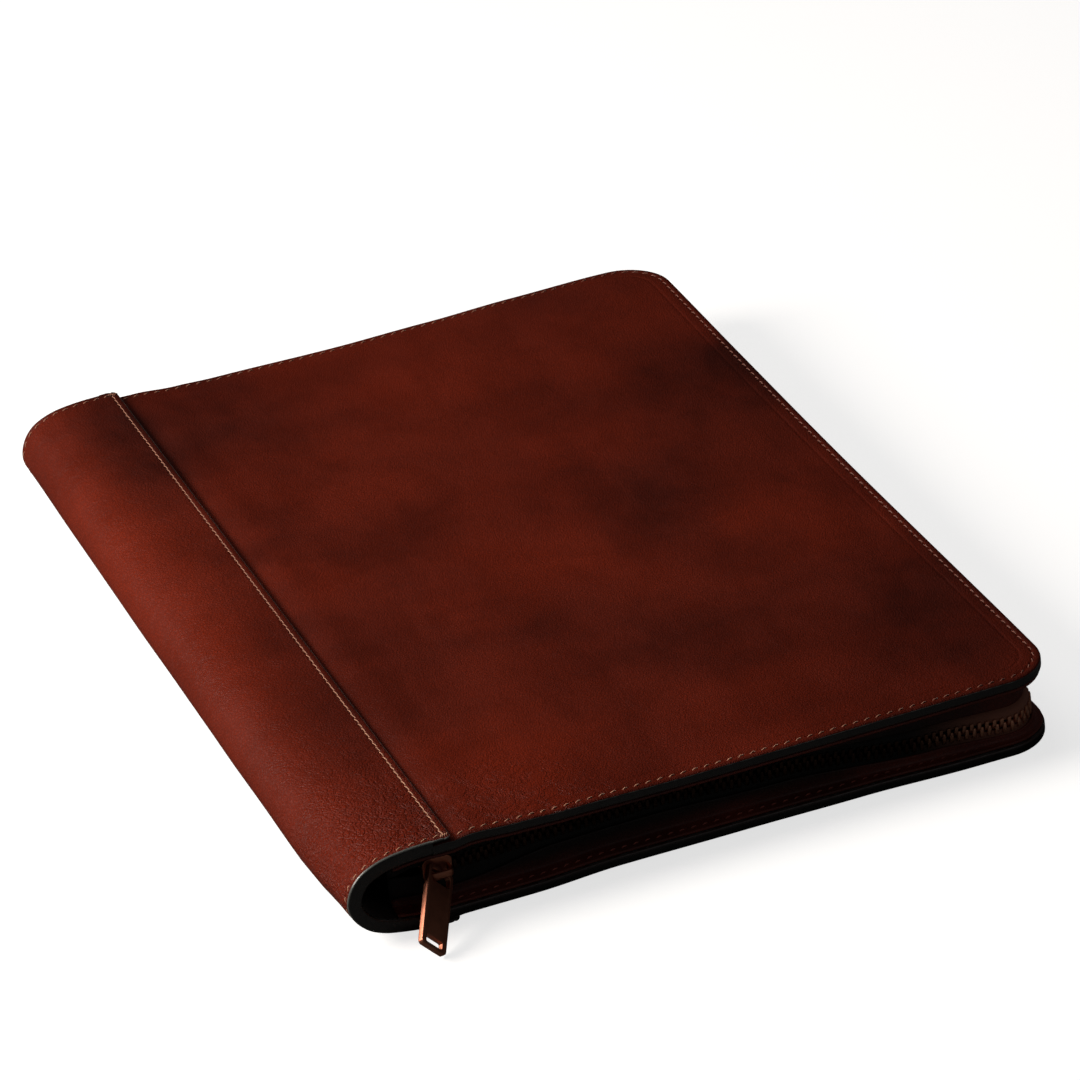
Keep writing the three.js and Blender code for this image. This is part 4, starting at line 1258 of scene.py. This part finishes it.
toothShape = makeTooth()
for side, name in ((1, "upperTeeth"), (-1, "lowerTeeth")):
    path = pathObject(name + "Path", *zipPath(side))
    start = tooth["start"] + (0 if side > 0 else tooth["pitch"] / 2)
    row = rowOnPath(name, path, toothTree, {
        "Pitch": tooth["pitch"] * mm, "Start": start * mm, "Tooth": toothShape, "Seed": 10 + side,
        "Metal": toothMetal})
    placePiece(row, "case", ["zip_chain"])
    print(name, len(row.data.polygons), "faces")
bpy.data.objects.remove(toothShape)


# Bevelled plates: a flat outline with its holes, extruded with round arrises
def plateMesh(name, loops, thickness, bevel, resolution=2):
    curve = bpy.data.curves.new(name, "CURVE")
    curve.dimensions = "2D"
    curve.fill_mode = "BOTH"
    curve.extrude = (thickness / 2 - bevel) * mm
    curve.bevel_depth = bevel * mm
    curve.bevel_resolution = resolution
    curve.offset = -bevel * mm
    for loop in loops:
        spline = curve.splines.new("POLY")
        spline.points.add(len(loop) - 1)
        for point, (x, y) in zip(spline.points, loop):
            point.co = (x * mm, y * mm, 0, 1)
        spline.use_cyclic_u = True
    holder = addObject(name + "Curve", curve)
    evaluated = holder.evaluated_get(bpy.context.evaluated_depsgraph_get())
    mesh = bpy.data.meshes.new_from_object(evaluated)
    bpy.data.objects.remove(holder)
    work = bmesh.new()
    work.from_mesh(mesh)
    bmesh.ops.remove_doubles(work, verts=work.verts, dist=1e-6)
    bmesh.ops.recalc_face_normals(work, faces=work.faces)
    work.to_mesh(mesh)
    work.free()
    mesh.name = name
    return mesh


def roundedLoop(fromX, toX, width, radius, steps=5):
    half = width / 2
    points = []
    for cx, cy, start in ((toX - radius, -half + radius, -90), (toX - radius, half - radius, 0),
                          (fromX + radius, half - radius, 90), (fromX + radius, -half + radius, 180)):
        for i in range(steps + 1):
            angle = math.radians(start + 90 * i / steps)
            points.append((cx + radius * math.cos(angle), cy + radius * math.sin(angle)))
    return points


def joinMeshes(name, meshes, material):
    work = bmesh.new()
    for mesh in meshes:
        work.from_mesh(mesh)
    merged = meshFrom(work, name)
    merged.materials.append(material)
    merged.polygons.foreach_set("material_index", [0] * len(merged.polygons))
    merged.polygons.foreach_set("use_smooth", [True] * len(merged.polygons))
    merged.set_sharp_from_angle(angle=math.radians(38))
    return addObject(name, merged)


slider = {
    "length": 10, "width": 8.8, "plate": 1.1, "plateRound": 0.32, "play": 0.3, "corner": 2.2,
    "seat": 0.3, "rail": 1.1, "railGap": 0.6, "railEnd": 1.4, "railRound": 0.2, "slot": 1.5,
    "post": 2.4, "postWidth": 3.2, "postInset": 0.1, "postRound": 0.3,
    "archLength": 8.4, "archWidth": 2.4, "archBar": 1.1, "archClear": 3.2, "archRound": 0.3,
    "archShoulder": 1.6, "archRise": 0.5, "archInside": 0.8, "archSteps": 8,
}


def boxMesh(name, low, high, bevel):
    work = bmesh.new()
    bmesh.ops.create_cube(work, size=1)
    for vert in work.verts:
        vert.co = Vector([(low[i] + (high[i] - low[i]) * (vert.co[i] + 0.5)) * mm for i in range(3)])
    bmesh.ops.bevel(work, geom=work.edges[:], offset=bevel * mm, segments=2, affect="EDGES")
    return meshFrom(work, name)


def makeSlider():
    channel = tooth["thick"] / 2 + slider["play"]
    half, seat = slider["length"] / 2, slider["seat"]
    parts = []
    # plates stand upright: the outline's x is along the zip and its y is the height
    for side in (-1, 1):
        loop = roundedLoop(-half, half, slider["width"], slider["corner"])
        mesh = plateMesh("plate", [loop], slider["plate"], slider["plateRound"], 3)
        mesh.transform(Matrix.Translation((0, side * (channel + slider["plate"] / 2) * mm, 0))
                       @ Matrix.Rotation(math.pi / 2, 4, "X"))
        parts.append(mesh)
    z = slider["postWidth"] / 2
    parts.append(boxMesh("post", (-half + slider["postInset"], -channel - seat, -z),
                         (-half + slider["post"], channel + seat, z), slider["postRound"]))
    start, end = slider["post"] + slider["railGap"] - half, half - slider["railEnd"]
    z = strips["chain"] / 2 + slider["play"]
    for face in (-1, 1):
        for side in (-1, 1):
            ys = sorted((face * slider["slot"] / 2, face * (channel + seat)))
            zs = sorted((side * z, side * (z + slider["rail"])))
            low, high = zip(ys, zs)
            parts.append(boxMesh("rail", (start, *low), (end, *high), slider["railRound"]))
    parts.append(makeArch(channel + slider["plate"]))
    return joinMeshes("zipSlider", parts, copperMetal)


def makeArch(face):
    foot, crown = face - slider["seat"], face + slider["archClear"]
    half, bar, rise = slider["archLength"] / 2, slider["archBar"], slider["archRise"]
    shoulder = []
    for i in range(slider["archSteps"] + 1):
        angle = math.pi / 2 * i / slider["archSteps"]
        shoulder.append((-half + slider["archShoulder"] * (1 - math.cos(angle)),
                         crown - rise + (bar + rise) * math.sin(angle)))
    reach, cut = half - bar, slider["archInside"]
    inner = [(reach, foot), (reach, crown - cut), (reach - cut, crown)]
    loop = ([(-half, foot)] + shoulder + [(-x, y) for x, y in shoulder[::-1]] + [(half, foot)]
            + inner + [(-x, y) for x, y in inner[::-1]])
    mesh = plateMesh("arch", [loop], slider["archWidth"], slider["archRound"], 3)
    mesh.transform(Matrix.Scale(-1, 4, (0, 1, 0)))
    mesh.flip_normals()
    return mesh


def nearestStop(x):
    near = run[run[:, 2] < 0]
    return near[np.argmin(np.abs(near[:, 1] - x))]


sliderHeight, sliderInset = zipPlace(nearestStop(strips["sliderCentre"]))[2:]
zipSlider = makeSlider()
zipSlider.data.transform(Matrix.Translation((
    strips["sliderCentre"] * mm, (-halfLength + sliderInset) * mm, sliderHeight * mm)))
placePiece(zipSlider, "case", ["zip_slider"])

puller = {
    "length": 28.5, "width": 11.3, "thick": 2, "bevel": 0.3, "bar": 1.6, "eye": 4, "eyeWidth": 8.4,
    "slot": 2.5, "slotWidth": 7.4, "slotEnd": 1.4, "corner": 1.4,
    "heading": -119, "dip": 26.4, "roll": -57.2, "pivot": (-90.8, -171.1, 17.3),
}


def makePuller():
    slotTo = puller["length"] - puller["slotEnd"]
    loops = [
        roundedLoop(-puller["bar"] / 2, puller["length"], puller["width"], puller["corner"], 6),
        roundedLoop(puller["bar"] / 2, puller["bar"] / 2 + puller["eye"], puller["eyeWidth"], 1.2),
        roundedLoop(slotTo - puller["slot"], slotTo, puller["slotWidth"], 0.5, 4),
    ]
    mesh = plateMesh("tab", loops, puller["thick"], puller["bevel"], 3)
    piece = joinMeshes("zipPuller", [mesh], copperMetal)
    turn = (Matrix.Rotation(math.radians(puller["heading"]), 4, "Z")
            @ Matrix.Rotation(math.radians(puller["dip"]), 4, "Y")
            @ Matrix.Rotation(math.radians(puller["roll"]), 4, "X"))
    piece.data.transform(Matrix.Translation(Vector(puller["pivot"]) * mm) @ turn)
    return piece


placePiece(makePuller(), "puller", ["zip_puller"])

stopLow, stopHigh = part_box("zip_bottom_stop")
stopMesh = boxMesh("zipStop", [c / mm for c in stopLow], [c / mm for c in stopHigh], 0.5)
placePiece(joinMeshes("zipStop", [stopMesh], copperMetal), "case", ["zip_bottom_stop"])
print("zip made")

# Floor, light and camera
studio = {
    "floor": (0.5, 0.495, 0.49), "floorHalf": 40, "floorDrop": 0.0001, "floorGlow": 0.72,
    "floorBounce": 0.08, "worldDiffuse": 0.04, "worldGlossy": 0.025,
}
lamps = {
    "key": {"at": (-0.98, 0.16, 0.66), "size": 0.6, "power": 16, "gloss": True,
            "tint": (1, 0.93, 0.86)},
    "top": {"at": (-0.45, 0.7, 1.9), "size": 1.7, "power": 11, "gloss": False,
            "tint": (1, 0.97, 0.94)},
    "fill": {"at": (0.9, -1.6, 1.2), "size": 1.5, "power": 0.7, "gloss": True, "tint": (1, 1, 1)},
}


def makeFloor():
    mesh = bpy.data.meshes.new("studioFloor")
    half = studio["floorHalf"]
    corners = [(-half, -half, 0), (half, -half, 0), (half, half, 0), (-half, half, 0)]
    mesh.from_pydata(corners, [], [(0, 1, 2, 3)])
    floor = addObject("studioFloor", mesh)
    floor.location.z = -studio["floorDrop"]
    material, tree, bsdf = newMaterial("paleFloor", Roughness=0.9)[:3]
    bsdf.inputs["Base Color"].default_value = (*studio["floor"], 1)
    bsdf.inputs["Emission Color"].default_value = (1, 1, 1, 1)
    bsdf.inputs["Emission Strength"].default_value = studio["floorGlow"]
    # the camera sees it nearly white, the case gets little of it back
    dull = put(tree, "ShaderNodeBsdfDiffuse", {"Color": (studio["floorBounce"],) * 3 + (1,)})
    seen = tree.nodes.new("ShaderNodeLightPath").outputs["Is Camera Ray"]
    mix = put(tree, "ShaderNodeMixShader", {0: seen, 1: dull.outputs[0], 2: bsdf.outputs[0]})
    tree.links.new(mix.outputs[0], tree.nodes["Material Output"].inputs["Surface"])
    mesh.materials.append(material)


def makeLight(name, look):
    data = bpy.data.lights.new(name, "AREA")
    data.shape = "DISK"
    data.size, data.energy = look["size"], look["power"]
    data.color = look["tint"]
    lamp = addObject(name, data)
    lamp.location = look["at"]
    lamp.visible_glossy = look["gloss"]
    aim = Vector((0, 0, 0.02)) - Vector(look["at"])
    lamp.rotation_mode = "QUATERNION"
    lamp.rotation_quaternion = aim.to_track_quat("-Z", "Y")


def makeWorld():
    world = bpy.data.worlds.new("studio")
    bpy.context.scene.world = world
    world.use_nodes = True
    tree = world.node_tree
    background = tree.nodes["Background"]
    background.inputs["Color"].default_value = (1, 1, 1, 1)
    ray = tree.nodes.new("ShaderNodeLightPath").outputs
    dim = addUp(tree, times(tree, ray["Is Diffuse Ray"], studio["worldDiffuse"]),
                times(tree, ray["Is Glossy Ray"], studio["worldGlossy"]))
    strength = mathNode(tree, "MAXIMUM", ray["Is Camera Ray"], dim)
    tree.links.new(strength, background.inputs["Strength"])


view = {
    "at": (-535.25, -1644.43, 969.69), "yaw": 18.384, "pitch": 28.571, "roll": -6.245, "lens": 190.68,
}


def makeCamera():
    yaw, pitch, roll = (math.radians(view[key]) for key in ("yaw", "pitch", "roll"))
    level = math.cos(pitch)
    forward = Vector((math.sin(yaw) * level, math.cos(yaw) * level, -math.sin(pitch)))
    aside = Vector((math.cos(yaw), -math.sin(yaw), 0))
    above = aside.cross(forward)
    right = aside * math.cos(roll) + above * math.sin(roll)
    up = above * math.cos(roll) - aside * math.sin(roll)
    turn = Matrix((right, up, -forward)).transposed().to_4x4()
    data = bpy.data.cameras.new("camera")
    data.lens, data.sensor_width = view["lens"], 36
    data.clip_start, data.clip_end = 0.01, 100
    camera = addObject("camera", data)
    camera.matrix_world = Matrix.Translation(Vector(view["at"]) * mm) @ turn
    bpy.context.scene.camera = camera


makeFloor()
for name, look in lamps.items():
    makeLight(name, look)
makeWorld()
makeCamera()
settings = bpy.context.scene.view_settings
settings.view_transform = "Standard"
settings.look = "None"
print("stage set")
